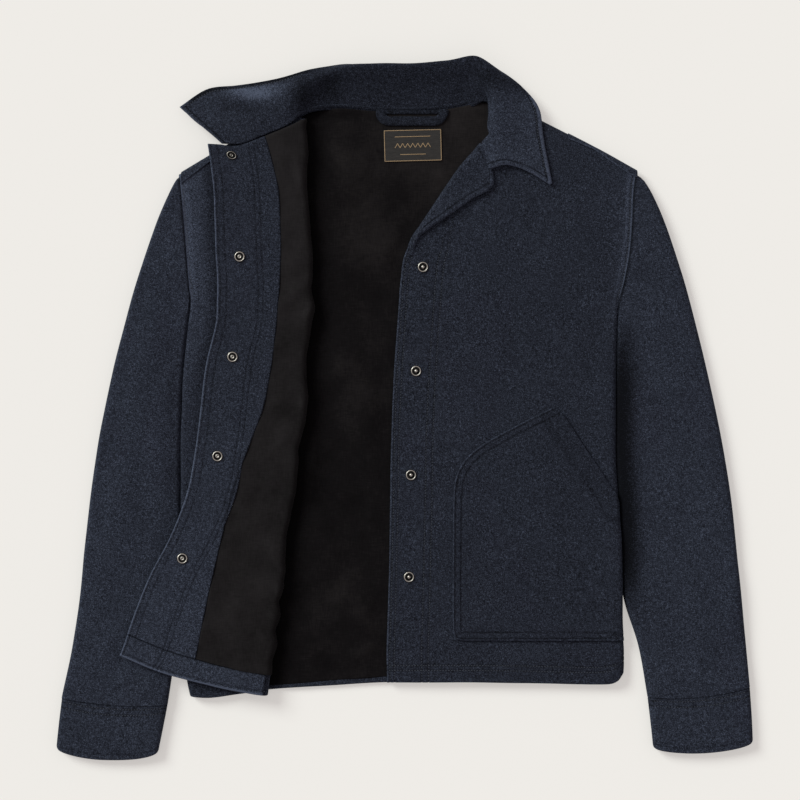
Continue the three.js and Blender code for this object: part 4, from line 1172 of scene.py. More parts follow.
lined_columns = joined_columns((TUCK, np.linspace(0, 1, 4)), (BEND, np.linspace(0, 1, 18)[1:]),
                               (UPPER, np.linspace(0, 1, 48)[1:]))
lined_faces, _ = panel(
    layer_section("lining"), lined_columns, ([0, 0.2, 0.5, 0.9, 2, 4], 236, 2), edge_at(FLAP_BAND),
    edge_at(FLAP_NECK), (UNDER_LINING, LINING_FACE), lead=GAP, free=("hem", "top"))
lined_x, lined_y = plan(lined_faces[1])
bend_only = np.where(lined_columns[0] == BEND, lined_columns[1], 1.0)
bend_only = np.where(lined_columns[0] == TUCK, 0.0, bend_only)[None, :]
lined_lie = ((flap_relief(lined_x, lined_y) + swells(lined_x, lined_y, 31, 34, 0.5) + 0.3
              + np.maximum(creases(lined_x, lined_y, LINING_PUCKERS) * 2.8, -0.6)) * bend_only)
# Paler towards the top, painted shade beside the fold, and painted light and shade on the puckers
from_fold = fold_line(lined_y) - lined_x
lined_tone = (0.5 * smooth(lined_y, 80, 220) - 0.5 * bell(from_fold - 2, 11)
              + 0.5 * creases(lined_x, lined_y, LINING_PUCKERS))
lining_right = cloth("lining_right_cloth", *lined_faces[::-1], lined_lie, INSIDE_LINING, "lining",
                     ["lining_right"], tone=lined_tone)

band_columns = joined_columns((UPPER, np.linspace(0, 1, 52)[:-1]), (EDGE, facing_offsets))
band_faces, _ = panel(
    right_section, band_columns, ([0, 0.2, 0.5, 0.9, 1.5, 2.4, 3.6, 4.9, 6.2, 7.6], 5, 6),
    edge_at(FLAP_HEM), edge_at(FLAP_BAND), (UNDER_LINING, FACING_FACE), lead=GAP,
    free=("hem", "edge", "top"))


def band_channels(x, y):
    """Channels of the turned-up hem's stitching: above its edge, and the placket's."""
    above = y - across(FLAP_HEM, x)
    from_edge = x - level(y, "flap_edge")
    return grooves(above, (BAND_ROW,)) + grooves(from_edge, FACING_ROWS[:1] + FACING_PLACKET_ROWS)


def band_relief(x, y):
    """Lie of the turned-up hem: the flap's, and the channels of its stitching."""
    return flap_relief(x, y) + band_channels(x, y)


band_x, band_y = plan(band_faces[1])
band_lie = band_relief(band_x, band_y)
# Painted highlight at the free edge and along the hem's lower edge, painted shade in the channels
# and at the seam, and paler towards the hem
band_tone = flap_tone(band_x, band_y, band_channels(band_x, band_y))
band_tone = band_tone + seam_shade(across(FLAP_BAND, band_x) - band_y)
band_tone = band_tone + 3.0 * bell(band_y - across(FLAP_HEM, band_x), 1.8)
hem_facing = wool("hem_facing_right", band_faces[::-1], band_lie, band_tone, puff=0.3)


# Sleeves and cuffs
def around_ring(radius, length):
    """Distance along the flattened ring and height, all the way round: outer end, top, inner
    end, bottom. The ends are half circles and the top and bottom are level."""
    outer = np.linspace(-90, 90, 15) * np.pi / 180
    top = np.linspace(0, 1, 46)[1:-1]
    inner = np.linspace(90, -90, 11) * np.pi / 180
    bottom = np.linspace(0, 1, 22)[1:-1]
    flat = length - 2 * SLEEVE_RADIUS
    distance = np.concatenate([
        length - SLEEVE_RADIUS + radius * np.cos(outer), SLEEVE_RADIUS + flat * (1 - top),
        SLEEVE_RADIUS - radius * np.cos(inner), SLEEVE_RADIUS + flat * bottom], axis=1)
    height = SLEEVE_RADIUS + np.concatenate([
        radius * np.sin(outer), radius + 0 * top, radius * np.sin(inner), -radius + 0 * bottom],
        axis=1)
    return distance, height


# How much faster a sleeve rounds off at its seams than at a free edge, and how far its inner
# side laps under the body beside the cuff
SEAM_STEEPNESS = 3.5
UNDER_LAP = 1.1


def sleeve_faces(table, side, edge, rows, from_armhole, wall, fullness=1.0):
    """Both faces of a sleeve or cuff. Rings are smooth curves through the table's rows, spaced
    by the length along the middle. The first rings of a sleeve lie along the armhole."""
    middle = (table[:, 0:2] + table[:, 2:4]) / 2
    along = lengths_along(middle)
    at = rows(along[-1])
    number = np.interp(at, along, np.arange(len(table)))
    inner_x, inner_y, outer_x, outer_y, dip = [
        curve(np.arange(len(table)), table[:, k], number)[:, None] for k in range(5)]
    lapped = smooth(inner_y, -260, -200)
    fuller = between(1.0, fullness, smooth(at, 0, along[-1]))[:, None]
    clear_x = side * np.maximum(side * inner_x, side * level(inner_y, edge) + GAP)
    inner_x = clear_x - side * lapped * UNDER_LAP
    length = np.hypot(outer_x - inner_x, outer_y - inner_y)
    way_x = (outer_x - inner_x) / length
    way_y = (outer_y - inner_y) / length
    on_seam = (1 - smooth(number, 0, 0.35))[:, None] if from_armhole else 0.0
    at_end = SEAM_STEEPNESS if from_armhole else 1.0
    near = np.minimum(at * SEAM_STEEPNESS, (along[-1] - at) * at_end)[:, None]
    faces = []
    for depth in rounded(near, 0.0, wall):
        distance, height = around_ring(SLEEVE_RADIUS - depth, length)
        share = np.clip(distance / length, 0, 1)
        drop = dip * (4 * share * (1 - share)) ** fuller * side
        x = inner_x + way_x * distance + way_y * drop
        y = inner_y + way_y * distance - way_x * drop
        seam = side * level(y, edge) - SEAM_LAP
        reach = between(np.maximum(side * x, seam), seam, on_seam)
        faces.append(np.stack([side * reach, y, height], -1))
    return faces, near


def top_share(faces):
    """One on the face that looks up, nothing on the one that lies on the surface."""
    return smooth(faces[0][..., 2], SLEEVE_RADIUS - 2, 2 * SLEEVE_RADIUS - 1)


CUFF_HEM_ROW = 6.3
HEM_STEPS = np.array([7.8, 7.0, 6.3, 5.6, 4.8, 3.6])
END_STEPS = np.array([2.4, 1.5, 0.8, 0.3, 0])


def sleeve_rows(total):
    """Distances along a sleeve: fine at both ends and even between."""
    return np.concatenate([END_STEPS[::-1], np.linspace(4, total - 4, 150), total - END_STEPS])


def cuff_rows(total):
    """Distances along a cuff: fine at both ends and at its stitching."""
    ends = [0, 0.3, 0.8, 1.5, 2.2, 3.5, 4.8, 6.4, 8.1, 9.4, 10.7, 13]
    return np.concatenate([ends, np.linspace(16, total - 10, 12), total - HEM_STEPS,
                           total - END_STEPS])


def sleeve_relief(x, y, lines, seed):
    """Lie of a sleeve's upper face: its creases and an uneven swell."""
    return 1.8 * creases(x, y, lines) + swells(x, y, seed, 85, 0.7)


# How far each sleeve sinks beside the body, in millimetres, how much painted shade darkens it
# there, and how much paler sleeves and cuffs are elsewhere
SLEEVE_TUCK = {"left": 2.8, "right": 1.6}
SLEEVE_SHADE = {"left": 1.9, "right": 0.25}
SLEEVE_GLOW = {"left": 0.15, "right": 0.2}
CUFF_GLOW = 0.17
for tube, table, side, edge, lines, seed in (
        ("left", LEFT_SLEEVE, 1, "side_left", LEFT_SLEEVE_CREASES, 41),
        ("right", RIGHT_SLEEVE, -1, "side_right", RIGHT_SLEEVE_CREASES, 43)):
    faces, near = sleeve_faces(table, side, edge, sleeve_rows, True, SLEEVE_WALL)
    x, y = plan(faces[0])
    from_body = side * x - side * level(y, edge)
    tucked = np.exp(-np.abs(from_body / 21) ** 3) * (1 - smooth(y, 10, 125)) * smooth(y, -260, -170)
    lie = sleeve_relief(x, y, lines, seed) - SLEEVE_TUCK[tube] * tucked
    # Painted shade at the sleeve's seams, where it tucks beside the body and in a line along the
    # armhole's seam, and paler all over
    at_cuff = smooth(-y, -200, 200)
    armhole_seam_shade = 1.1 * bell(from_body + SEAM_LAP, 1.7) * smooth(y, 100, 130)
    tone = at_cuff * seam_shade(near, 2.0) - SLEEVE_SHADE[tube] * tucked + SLEEVE_GLOW[tube]
    tone = tone - armhole_seam_shade
    wool(f"sleeve_{tube}", faces, lie * top_share(faces), tone, around=True)

for cuff, table, side, edge, seed in (("left", LEFT_CUFF, 1, "side_left", 47),
                                      ("right", RIGHT_CUFF, -1, "side_right", 53)):
    faces, near = sleeve_faces(table, side, edge, cuff_rows, False, SLEEVE_WALL, 0.55)
    x, y = plan(faces[0])
    middle = (table[:, 0:2] + table[:, 2:4]) / 2
    total = np.linalg.norm(np.diff(middle, axis=0), axis=1).sum()
    down = np.broadcast_to(cuff_rows(total)[:, None], x.shape)
    lie = creases(x, y, CUFF_CREASES) + swells(x, y, seed, 60, 0.3)
    channels = grooves(down, CUFF_ROWS) + 0.45 * grooves(total - down, (CUFF_HEM_ROW,))
    lie = (lie + channels) * top_share(faces)
    # Painted highlight at the cuff's end, painted shade in its channels and at its seam, and paler
    # all over
    tone = tones(total - down, channels) + 0.9 * seam_shade(down, 0.8) + CUFF_GLOW
    wool(f"cuff_{cuff}", faces, lie, tone, around=True)
    # The rows of stitching follow the rings on the upper face, whose points these are
    upper = slice(14, 60)
    runs = []
    for row in CUFF_ROWS:
        ring = int(np.argmin(np.abs(cuff_rows(total) - row)))
        height = faces[0][ring, upper, 2] + lie[ring, upper]
        runs.append(upright(x[ring, upper], y[ring, upper], height))
    stitching(f"cuff_{cuff}_stitching", runs)


# Collar
def collar_face(at, part):
    """Points of the collar's upper face: a smooth section through the seam, stand, roll and
    edge, whose four guides are smooth curves through the stations."""
    guides = smooth_line(COLLAR_STATIONS, at)
    return np.swapaxes(smooth_line(np.swapaxes(guides, 0, 1), part), 0, 1)


def wall_limit(face, normal, distance, share=0.4):
    """How far each point of a row may be moved along its normal: less near a tight bend, by a
    share of the bend's radius and of the distance from it."""
    step = np.diff(face, axis=1)
    size = np.linalg.norm(step, axis=-1)
    way = step / np.maximum(size[..., None], 1e-9)
    turn = np.arccos(np.clip((way[:, 1:] * way[:, :-1]).sum(-1), -1, 1))
    radius = (size[:, 1:] + size[:, :-1]) / 2 / np.maximum(turn, 1e-6)
    closing = ((way[:, 1:] - way[:, :-1]) * normal[:, 1:-1]).sum(-1) > 0
    limit = np.full(face.shape[:2], distance)
    limit[:, 1:-1] = np.where(closing, np.minimum(distance, share * radius), distance)
    apart = np.linalg.norm(face[:, :, None] - face[:, None, :], axis=-1)
    return (limit[:, None, :] + share * apart).min(-1)


collar_at = np.concatenate([[0, 0.0008, 0.002], np.linspace(0.0035, 0.016, 11),
                            np.linspace(0.0215, 0.9785, 166), np.linspace(0.983, 0.996, 12),
                            [0.998, 0.9992, 1]])
collar_part = np.concatenate([np.linspace(0, 0.895, 42), np.linspace(0.903, 0.967, 14),
                              [0.976, 0.984, 0.992, 0.997, 1]])
collar_top = collar_face(collar_at, collar_part)
# Where along the collar its parts end: the open wing, the neck and the turned-down leaf
WING_ENDS = (0.24, 0.3)
NECK_ENDS = (0.7, 0.76)
LEAF_STARTS = (0.72, 0.78)
GORGE_STARTS = (0.9, 0.94)
# Along the neck and the gorge the seam's edge is carried on, so that no gap shows beside it
NECK_CARRY = 3.6
GORGE_CARRY = 2.6
GORGE_SINK = 1.5
carried = NECK_CARRY * smooth(collar_at, *WING_ENDS) * (1 - smooth(collar_at, *NECK_ENDS))
carried = carried + GORGE_CARRY * bells(collar_at, [(0.66, 0.045, 1.0)])
at_gorge = smooth(collar_at, *GORGE_STARTS)
carried = carried + GORGE_CARRY * at_gorge
seam_way = unit(collar_top[:, 0] - collar_top[:, 3])
seam_fade = np.array([1, 0.55, 0.22, 0.05])[None, :, None]
seam_shift = seam_way * carried[:, None]
seam_shift[:, 2] = -GORGE_SINK * at_gorge
collar_top[:, :4] += seam_shift[:, None] * seam_fade
collar_normal = normals_of(collar_top)
collar_thick = wall_limit(collar_top, collar_normal, COLLAR)[..., None]
from_seam = lengths_along(collar_top, 1)
from_edge = from_seam[:, -1:] - from_seam
from_start = lengths_along(collar_top)
from_end = from_start[-1:] - from_start
collar_near = np.minimum(np.minimum(from_edge, from_start), from_end)
collar_outer, collar_inner = rounded(collar_near, 0.0, COLLAR)
collar_scale = collar_thick / COLLAR
LEAF_ROW = 4.8
LEAF_LIFT = 2.0
leaf_near = np.minimum(from_edge, from_end)
wing_near = np.minimum(from_edge, from_start)
on_leaf = smooth(collar_at, *LEAF_STARTS)[:, None]
on_wing = 1 - smooth(collar_at, *WING_ENDS)[:, None]
collar_x, collar_y = plan(collar_top)
collar_lie = (creases(collar_x, collar_y, COLLAR_CREASES)
              + swells(collar_x, collar_y, 61, 70, 0.4))
collar_channels = grooves(leaf_near, (LEAF_ROW,)) * on_leaf
collar_channels = collar_channels + grooves(wing_near, (LEAF_ROW,)) * on_wing
leaf_lift = LEAF_LIFT * bell(leaf_near, 12) * on_leaf
collar_up = collar_top + collar_normal * collar_outer[..., None] * collar_scale
collar_down = collar_top + collar_normal * collar_inner[..., None] * collar_scale
# Painted light and shade on the collar: painted shade along the wing's top edge where its underside
# would show rolled over, a painted highlight on the wing's lit crease, a paler leaf and darker
# neck, and a painted highlight and shade along the leaf's edge and stitching
rolled_edge_shade = -1.5 * np.exp(-(from_edge / 4.5) ** 4) * on_wing * smooth(from_start, 6, 24)
lit_crease = creases(collar_x, collar_y, WING_LIT)
soft_shade = creases(collar_x, collar_y, COLLAR_SHADES)
collar_light_and_shade = 0.3 * on_leaf + 0.03 * on_wing - 0.25 * (1 - on_leaf) * (1 - on_wing)
collar_tone = tones(collar_near, 1.3 * collar_channels, 0.95) + rolled_edge_shade + 0.9 * lit_crease
leaf_edge_light_and_shade = (0.8 * bell(from_edge - 1.8, 1.6) - 0.9 * bell(from_edge - LEAF_ROW, 1.1)) * on_leaf
collar_tone = collar_tone + soft_shade + collar_light_and_shade + leaf_edge_light_and_shade
collar_relief = collar_lie + leaf_lift + collar_channels
collar = wool("collar", (collar_up, collar_down), collar_relief, collar_tone)

# Lapel: round the front's edge and turned out over it
LAPEL_TURN = SHELL / 2 + GAP + FACING
LAPEL_STEPS = 84
TURN_STEPS = 20
# At its foot the lapel runs out into the front's edge: so much further out, and lower
FOOT_OUT = 1.2
FOOT_DROP = 3.2


def lapel_faces():
    """Both faces of the lapel: half a turn round the front's edge, then level out to the
    lapel's own edge, on smooth curves through the roll's and the edge's points."""
    at = np.linspace(0, 1, LAPEL_STEPS)
    roll = smooth_line(np.asarray(LAPEL_ROLL, float), at)
    edge = smooth_line(np.asarray(LAPEL_EDGE, float), at)
    width = np.linalg.norm(edge - roll, axis=1)[:, None]
    outward = (edge - roll) / width
    run_out = smooth(at, 0, 0.3)[:, None]
    height = (left_height(roll[:, 0], roll[:, 1]) - SHELL / 2)[:, None]
    angle = np.linspace(-45, 90, TURN_STEPS)[None, :] * np.pi / 180
    over = np.concatenate([np.linspace(0, 0.9, 26)[1:], [0.93, 0.96, 0.98, 0.992, 1]])[None, :]
    reach = over * np.maximum(width - LAPEL_TURN, 1)
    flat_near = np.maximum(width - LAPEL_TURN, 1) - reach
    near = np.concatenate([np.full((LAPEL_STEPS, TURN_STEPS), FAR), flat_near], axis=1)
    along = lengths_along(edge)
    near = np.minimum(near, (along[-1] - along)[:, None])
    faces = []
    for depth in rounded(near, 0.0, FACING):
        turn = LAPEL_TURN - depth
        wrapped = LAPEL_TURN - turn[:, :TURN_STEPS] * np.cos(angle)
        distance = np.concatenate([wrapped, LAPEL_TURN + reach], axis=1) + FOOT_OUT * (1 - run_out)
        x = roll[:, 0:1] + outward[:, 0:1] * distance
        y = roll[:, 1:2] + outward[:, 1:2] * distance
        lift = left_height(x, y) - left_height(roll[:, 0], roll[:, 1])[:, None]
        flat = height + turn[:, TURN_STEPS:] + lift[:, TURN_STEPS:]
        z = np.concatenate([height + turn[:, :TURN_STEPS] * np.sin(angle), flat], axis=1)
        faces.append(np.stack([x, y, z - FOOT_DROP * (1 - run_out)], -1))
    return faces, near


lapel_walls, lapel_near = lapel_faces()
LAPEL_ROW = 4.6
lapel_channels = grooves(lapel_near, (LAPEL_ROW,))
lapel_lie = (lapel_channels + 0.5 + 1.6 * bell(lapel_near, 10)
             + swells(*plan(lapel_walls[0]), 67, 40, 0.2))
# Painted highlight at the lapel's edges and painted shade in its channel
lapel_tone = tones(lapel_near, lapel_channels)
lapel = wool("lapel_left", lapel_walls, lapel_lie, lapel_tone, puff=0.7)


# Patch pocket
def pocket_outline():
    """The pocket's sewn outline, from its mouth's tip down its inner edge to the side."""
    inner = pocket_inner(np.linspace(POCKET_TIP[1], POCKET_BOTTOM + 4, 90))
    corner = [[61, POCKET_BOTTOM + 1.6], [64, POCKET_BOTTOM + 0.3]]
    foot = [[x, POCKET_BOTTOM] for x in np.linspace(70, POCKET_SIDE + 4, 20)]
    return np.concatenate([inner, corner, foot])


def pocket_inner(y):
    """Places on the pocket's inner edge."""
    return np.stack([curve(POCKET_EDGE[:, 0], POCKET_EDGE[:, 1], y), y], -1)


def pocket_mouth(x):
    """Places on the pocket's slanted mouth."""
    return np.stack([x, np.minimum(across(POCKET_MOUTH, x), POCKET_TIP[1])], -1)


POCKET_SEWN = pocket_outline()
POCKET_OPEN = pocket_mouth(np.linspace(POCKET_TIP[0], POCKET_SIDE + 6, 30))


def pocket_channels(x, y):
    """Channels of the pocket's stitching: along its sewn edges and below its mouth."""
    sewn = away_from(x, y, POCKET_SEWN)
    opening = away_from(x, y, POCKET_OPEN)
    mouth = -0.18 * bells(opening, [(MOUTH_ROWS[0] + 1.9, 2.6, 1.0)])
    return grooves(sewn, POCKET_ROWS) + mouth * smooth(sewn, 3, 9)


def pocket_relief(x, y):
    """Lie of the pocket: a soft fullness, creases, a raised mouth hem and the channels."""
    sewn = away_from(x, y, POCKET_SEWN)
    opening = away_from(x, y, POCKET_OPEN)
    full = 0.9 * smooth(sewn, 8, 70) * smooth(opening, 10, 50)
    hem = 0.2 * (1 - smooth(opening, 18, 26))
    lips = 0.35 * (1 - smooth(opening, 2, 12)) * smooth(sewn, 4, 20)
    lie = full + hem + lips + creases(x, y, POCKET_CREASES) + 0.4 * swells(x, y, 71, 60, 0.5)
    return lie + pocket_channels(x, y)


def pocket_place(t, v):
    """Places on the pocket: both ways across between opposite edges, added, less the blend of
    the four corners, where t runs from the inner edge to the side and v from foot to mouth."""
    def side(v):
        y = between(POCKET_BOTTOM, across(POCKET_MOUTH, POCKET_SIDE), v)
        return np.stack([level(y, "side_left") - EDGE_RADIUS, y], -1)

    def inner(v):
        return pocket_inner(between(POCKET_BOTTOM, POCKET_TIP[1], v))

    def mouth(t):
        return pocket_mouth(between(POCKET_TIP[0], side(end)[0], t))

    start = np.array(0.0)
    end = np.array(1.0)
    t1 = t[..., None]
    v1 = v[..., None]
    foot = between(inner(start), side(start), t1)
    corners = between(foot, between(mouth(start), mouth(end), t1), v1)
    return between(foot, mouth(t), v1) + between(inner(v), side(v), t1) - corners


def pocket_faces():
    """Both faces of the pocket: rows from its foot to its mouth, columns from its inner edge
    to the side and then an eighth of the way round it."""
    part = np.concatenate([[0, 0.0012, 0.003, 0.006, 0.0095, 0.0125, 0.016, 0.022, 0.031, 0.039],
                           np.linspace(0.043, 0.056, 6), np.linspace(0.066, 1, 84)])
    turn = np.linspace(0, 0.5, 6)[1:] * np.pi / 2
    up = np.concatenate([[0, 0.0008, 0.002, 0.004, 0.0065, 0.009, 0.0115, 0.016, 0.024],
                         np.linspace(0.03, 0.039, 6), np.linspace(0.048, 0.966, 108),
                         [0.976, 0.984, 0.991, 0.996, 0.9985, 1]])
    t, v = np.meshgrid(part, up)
    x, y = plan(pocket_place(t, v))
    corner = 1.6 * np.exp(-np.hypot(x - x[0, 0], y - y[0, 0]) / 4.0)
    x = x + corner
    y = y + corner
    side = pocket_place(np.ones((len(up), 1)), up[:, None])
    near = np.minimum(away_from(x, y, POCKET_SEWN), away_from(x, y, POCKET_OPEN))
    near = np.where((t == 0) | (v == 0) | (v == 1), 0, near)
    top_fall = 24 * (1 - np.cos(turn * 2)) / 2
    up_side = (side[..., 1] - POCKET_BOTTOM) / (side[-1, 0, 1] - POCKET_BOTTOM)
    side_y = side[..., 1] - top_fall * up_side ** 3
    side_near = np.minimum(side_y[-1:] - side_y, side_y - POCKET_BOTTOM)
    near = np.concatenate([near, side_near], axis=1)
    columns = len(part)
    faces = []
    for lift in rounded(near, GAP + PATCH, GAP):
        flat_z = front_top(x, y) + lift[:, :columns]
        radius = EDGE_RADIUS + lift[:, columns:]
        turned_x = side[..., 0] + radius * np.sin(turn)
        turned_z = (EDGE_RADIUS + radius * np.cos(turn)
                    + front_relief(side[..., 0], side[..., 1]))
        faces.append(np.stack([
            np.concatenate([x, turned_x], axis=1),
            np.concatenate([y, side_y], axis=1),
            np.concatenate([flat_z, turned_z], axis=1)], -1))
    return faces, near


pocket_walls, pocket_near = pocket_faces()
pocket_x, pocket_y = plan(pocket_walls[0])
pocket_lie = pocket_relief(pocket_x, pocket_y)
# Painted highlight at the pocket's edges and painted shade in its channels; darker all over and
# along its mouth's hem
mouth_shade = 0.12 * (1 - smooth(away_from(pocket_x, pocket_y, POCKET_OPEN), 16, 24))
pocket_tone = tones(pocket_near, pocket_channels(pocket_x, pocket_y), 0.3)
pocket_tone = pocket_tone - POCKET_DARK - mouth_shade
pocket = wool("pocket_left", pocket_walls, pocket_lie, pocket_tone, puff=0.5)


def pocket_top(x, y):
    """Height of the pocket's face with its lie."""
    return front_top(x, y) + GAP + PATCH + pocket_relief(x, y)


def moved_in(line, distance):
    """A polyline moved sideways to its left by a distance."""
    along = unit(np.gradient(line, axis=0))
    return line + np.stack([-along[:, 1], along[:, 0]], -1) * distance


# Turned-up hem of the back, below the lining's edge
turnup_columns = joined_columns((LOWER, np.linspace(0.19, 0.49, 70)))
turnup_faces, _ = panel(
    back_section, turnup_columns, ([0, 0.3, 0.7, 1.2, 2.0, 3.0], 6, 3), edge_at(HEM, 0.3),
    edge_at(BACK_LINING_HEM, 7), (SHELL + 0.1, SHELL + 1.5), free=("hem", "top"))
turnup_lie = swells(*plan(turnup_faces[1]), 77, 40, 0.15)
back_turnup = cloth("back_turned_hem_wool", *turnup_faces[::-1], turnup_lie, WOOL, "wool")


# Shoulder strips: the back's cloth carried over the shoulder to a seam on the front
def shoulder_strip(name, seam, top_table, lower):
    """A strip on the front's shoulder: from its seam on the front up to the turned edge. Its
    face follows the front's, level and then round the quarter turn."""
    seam = np.asarray(seam, float)
    x = np.linspace(seam[0, 0], seam[-1, 0], 60)[None, :]
    low = np.interp(x, seam[:, 0], seam[:, 1])
    high = across(top_table, x)
    part = np.concatenate([[0, 0.03, 0.07, 0.12], np.linspace(0.2, 0.985, 16)])[:, None]
    y = between(low, high, part)
    base = high - EDGE_RADIUS
    angle = np.arcsin(np.clip((y - base) / EDGE_RADIUS, 0, 1))
    near = y - low
    faces = []
    for lift in rounded(near, 1.5, 0.2):
        radius = EDGE_RADIUS + lift
        turned_y = np.where(y > base, base + radius * np.sin(angle), y)
        z = np.where(y > base, EDGE_RADIUS + radius * np.cos(angle), lower(x, y) + lift)
        faces.append(np.stack(np.broadcast_arrays(x, turned_y, z), -1))
    # Painted highlight along the strip's seam, and a little paler all over
    tone = np.broadcast_to(0.7 * bell(near, 1.6) + 0.1, faces[0].shape[:2])
    return cloth(name, *faces, np.zeros(faces[0].shape[:2]), WOOL, "wool", tone=tone)


RIGHT_STRIP_SEAM = [(-264, 265.2), (-252, 274.2), (-231, 290.4), (-205, 309)]
LEFT_STRIP_SEAM = [(193, 318), (224, 304.7), (250, 286.4), (264.6, 276.4), (274.7, 272.2)]
right_strip = shoulder_strip("shoulder_strip_right_wool", RIGHT_STRIP_SEAM, RIGHT_SHOULDER,
                             lambda x, y: BODY_TOP + lower_leg_lie(x, y))
left_strip = shoulder_strip("shoulder_strip_left_wool", LEFT_STRIP_SEAM, BACK_TOP, front_top)


# Seam band along the back neck, over the collar's lower edge
def tube_along(line, wide, tall, across_way, count=14):
    """A closed band along a line: an oval section of half width and half height, whose wide
    way is given at each point. Both ends are closed by pulling the last ring together."""
    angle = np.linspace(0, 2 * np.pi, count, endpoint=False)
    up = unit(np.cross(unit(np.gradient(line, axis=0)), across_way))
    shape_across = np.sign(np.cos(angle)) * np.abs(np.cos(angle)) ** 0.6
    shape_up = np.sign(np.sin(angle)) * np.abs(np.sin(angle)) ** 0.8
    rings = (line[:, None] + across_way[:, None] * (wide[:, None] * shape_across)[..., None]
             + up[:, None] * (tall[:, None] * shape_up)[..., None])
    first = between(rings[:1], line[:1, None], 0.98)
    final = between(rings[-1:], line[-1:, None], 0.98)
    return np.concatenate([first, rings, final])


def closed_rings(rings, ends):
    """Points and faces of a tube of rings, with a fan from each end's own middle point."""
    count = rings.shape[0] * rings.shape[1]
    index, quads = grid_quads(*rings.shape[:2], True)
    caps = [(after, at, count) for at, after in zip(index[0, :-1], index[0, 1:])]
    caps += [(at, after, count + 1) for at, after in zip(index[-1, :-1], index[-1, 1:])]
    points = np.concatenate([rings.reshape(-1, 3), ends])
    return points, facing_out(points, quads, np.array(caps).tolist())


def band_piece(name, rings, nodes=(), tone=0.0):
    """A band of wool made of rings, closed at both ends."""
    points, faces = closed_rings(rings, [rings[0].mean(0), rings[-1].mean(0)])
    return piece(name, points, faces, WOOL, nodes, {"tone": np.full(len(points), tone)})


neck_at = np.linspace(0.3, 0.685, 120)
neck_thin = smooth(neck_at, 0.62, 0.685)
neck_seam = collar_face(neck_at, np.array([0.02]))[:, 0]
neck_up = normals_of(collar_face(neck_at, np.array([0.0, 0.02, 0.04])))[:, 1]
neck_across = np.cross(neck_up, unit(np.gradient(neck_seam, axis=0)))
neck_rings = tube_along(neck_seam, 1.9 - 1.5 * neck_thin, 1.1 - 0.8 * neck_thin, neck_across)
# The band is darker, painted shade under the collar's edge
neck_band = band_piece("neck_seam_band_wool", neck_rings, tone=-0.3)

# Stays that close the neck where the collar stands clear of the back: x, y and the top's height
NECK_STAYS = {
    "right": [[-134, 338.5, 16], [-122, 345.5, 13.5], [-112, 350.5, 11.5], [-100, 353, 8.4],
              [-86, 353.8, 5.8]],
    "left": [[70, 357.6, 5.2], [80, 360, 6.2], [88, 362.6, 8.4], [96, 363, 11.4], [101, 359, 13],
             [103, 350, 12.6], [103.5, 342, 12]],
}
STAY_FOOT = SHELL - 0.6
for stay, places in NECK_STAYS.items():
    stay_line = smooth_line(np.array(places, float), np.linspace(0, 1, 40))
    stay_tall = (stay_line[:, 2] - STAY_FOOT) / 2
    stay_line[:, 2] = STAY_FOOT + stay_tall
    stay_way = np.gradient(stay_line, axis=0)
    stay_across = unit(np.stack([-stay_way[:, 1], stay_way[:, 0], 0 * stay_tall], -1))
    stay_rings = tube_along(stay_line, np.full(40, 1.1), stay_tall, stay_across)
    # The stays are darker, painted shade under the collar
    band_piece(f"neck_stay_{stay}_wool", stay_rings, tone=-0.5)

# Hanger loop: a padded band sewn in at both ends, with a tape behind its slot
LOOP_Z = LINING_FACE + GAP + 1.75
LOOP_PLACES = [(-28.4, 353), (-28.4, 347.4), (-27.2, 344), (-23.6, 340.6), (-19.5, 339.2),
               (36, 339.2), (40.5, 340.6), (44.6, 345.2), (46, 348.4), (46.6, 353)]
loop_points = np.array([(*place, LOOP_Z) for place in LOOP_PLACES])
loop_points[[0, -1], 2] -= 0.6
loop_line = polyline(loop_points, 1.2)
loop_across = unit(np.cross([0, 0, 1.0], unit(np.gradient(loop_line, axis=0))))
loop_wide = 5.5 + 0.2 * np.sin(np.linspace(0, 19, len(loop_line)))
loop_rings = tube_along(loop_line, loop_wide, np.full(len(loop_line), 1.75), loop_across, 18)
hanger_loop = band_piece("hanger_loop_wool", loop_rings, ["hanger_loop"], -0.4)
# The tape is darker, painted shade behind the loop's slot
tape_line = polyline([(-30, 349.9, LOOP_Z - 0.7), (48.5, 349.9, LOOP_Z - 0.7)], 1.5)
tape_across = np.tile([0, 1.0, 0], (len(tape_line), 1))
tape_rings = tube_along(tape_line, np.full(len(tape_line), 2.4), np.full(len(tape_line), 0.9),
                        tape_across)
loop_tape = band_piece("hanger_tape_wool", tape_rings, tone=-0.6)

# Neck label: a woven ground with a plain border, two rules and a row of small chevrons
LABEL_Z = LINING_FACE + GAP + 1.15


def label_place(u, v, z):
    """Points of the label from distances along and across it, turned as it lies."""
    turn_cos = math.cos(LABEL_TURN)
    turn_sin = math.sin(LABEL_TURN)
    return np.stack(np.broadcast_arrays(
        LABEL_AT[0] + u * turn_cos - v * turn_sin, LABEL_AT[1] + u * turn_sin + v * turn_cos,
        LABEL_Z + z + 0.18 * np.sin(u / 11) * np.cos(v / 9)), -1)


def label_slab(half_width, half_height, low, high):
    """Both faces of a thin rectangle on the label, rounded off at its edges."""
    def spaced(half, count):
        edge_in = np.array([0, 0.12, 0.3, 0.6])
        middle = np.linspace(1.2 - half, half - 1.2, count)
        return np.concatenate([edge_in - half, middle, (half - edge_in)[::-1]])

    u = spaced(half_width, 36)[None, :]
    v = spaced(half_height, 20)[:, None]
    near = np.minimum(half_width - np.abs(u), half_height - np.abs(v))
    return [label_place(u, v, z) for z in rounded(near, high, low)]


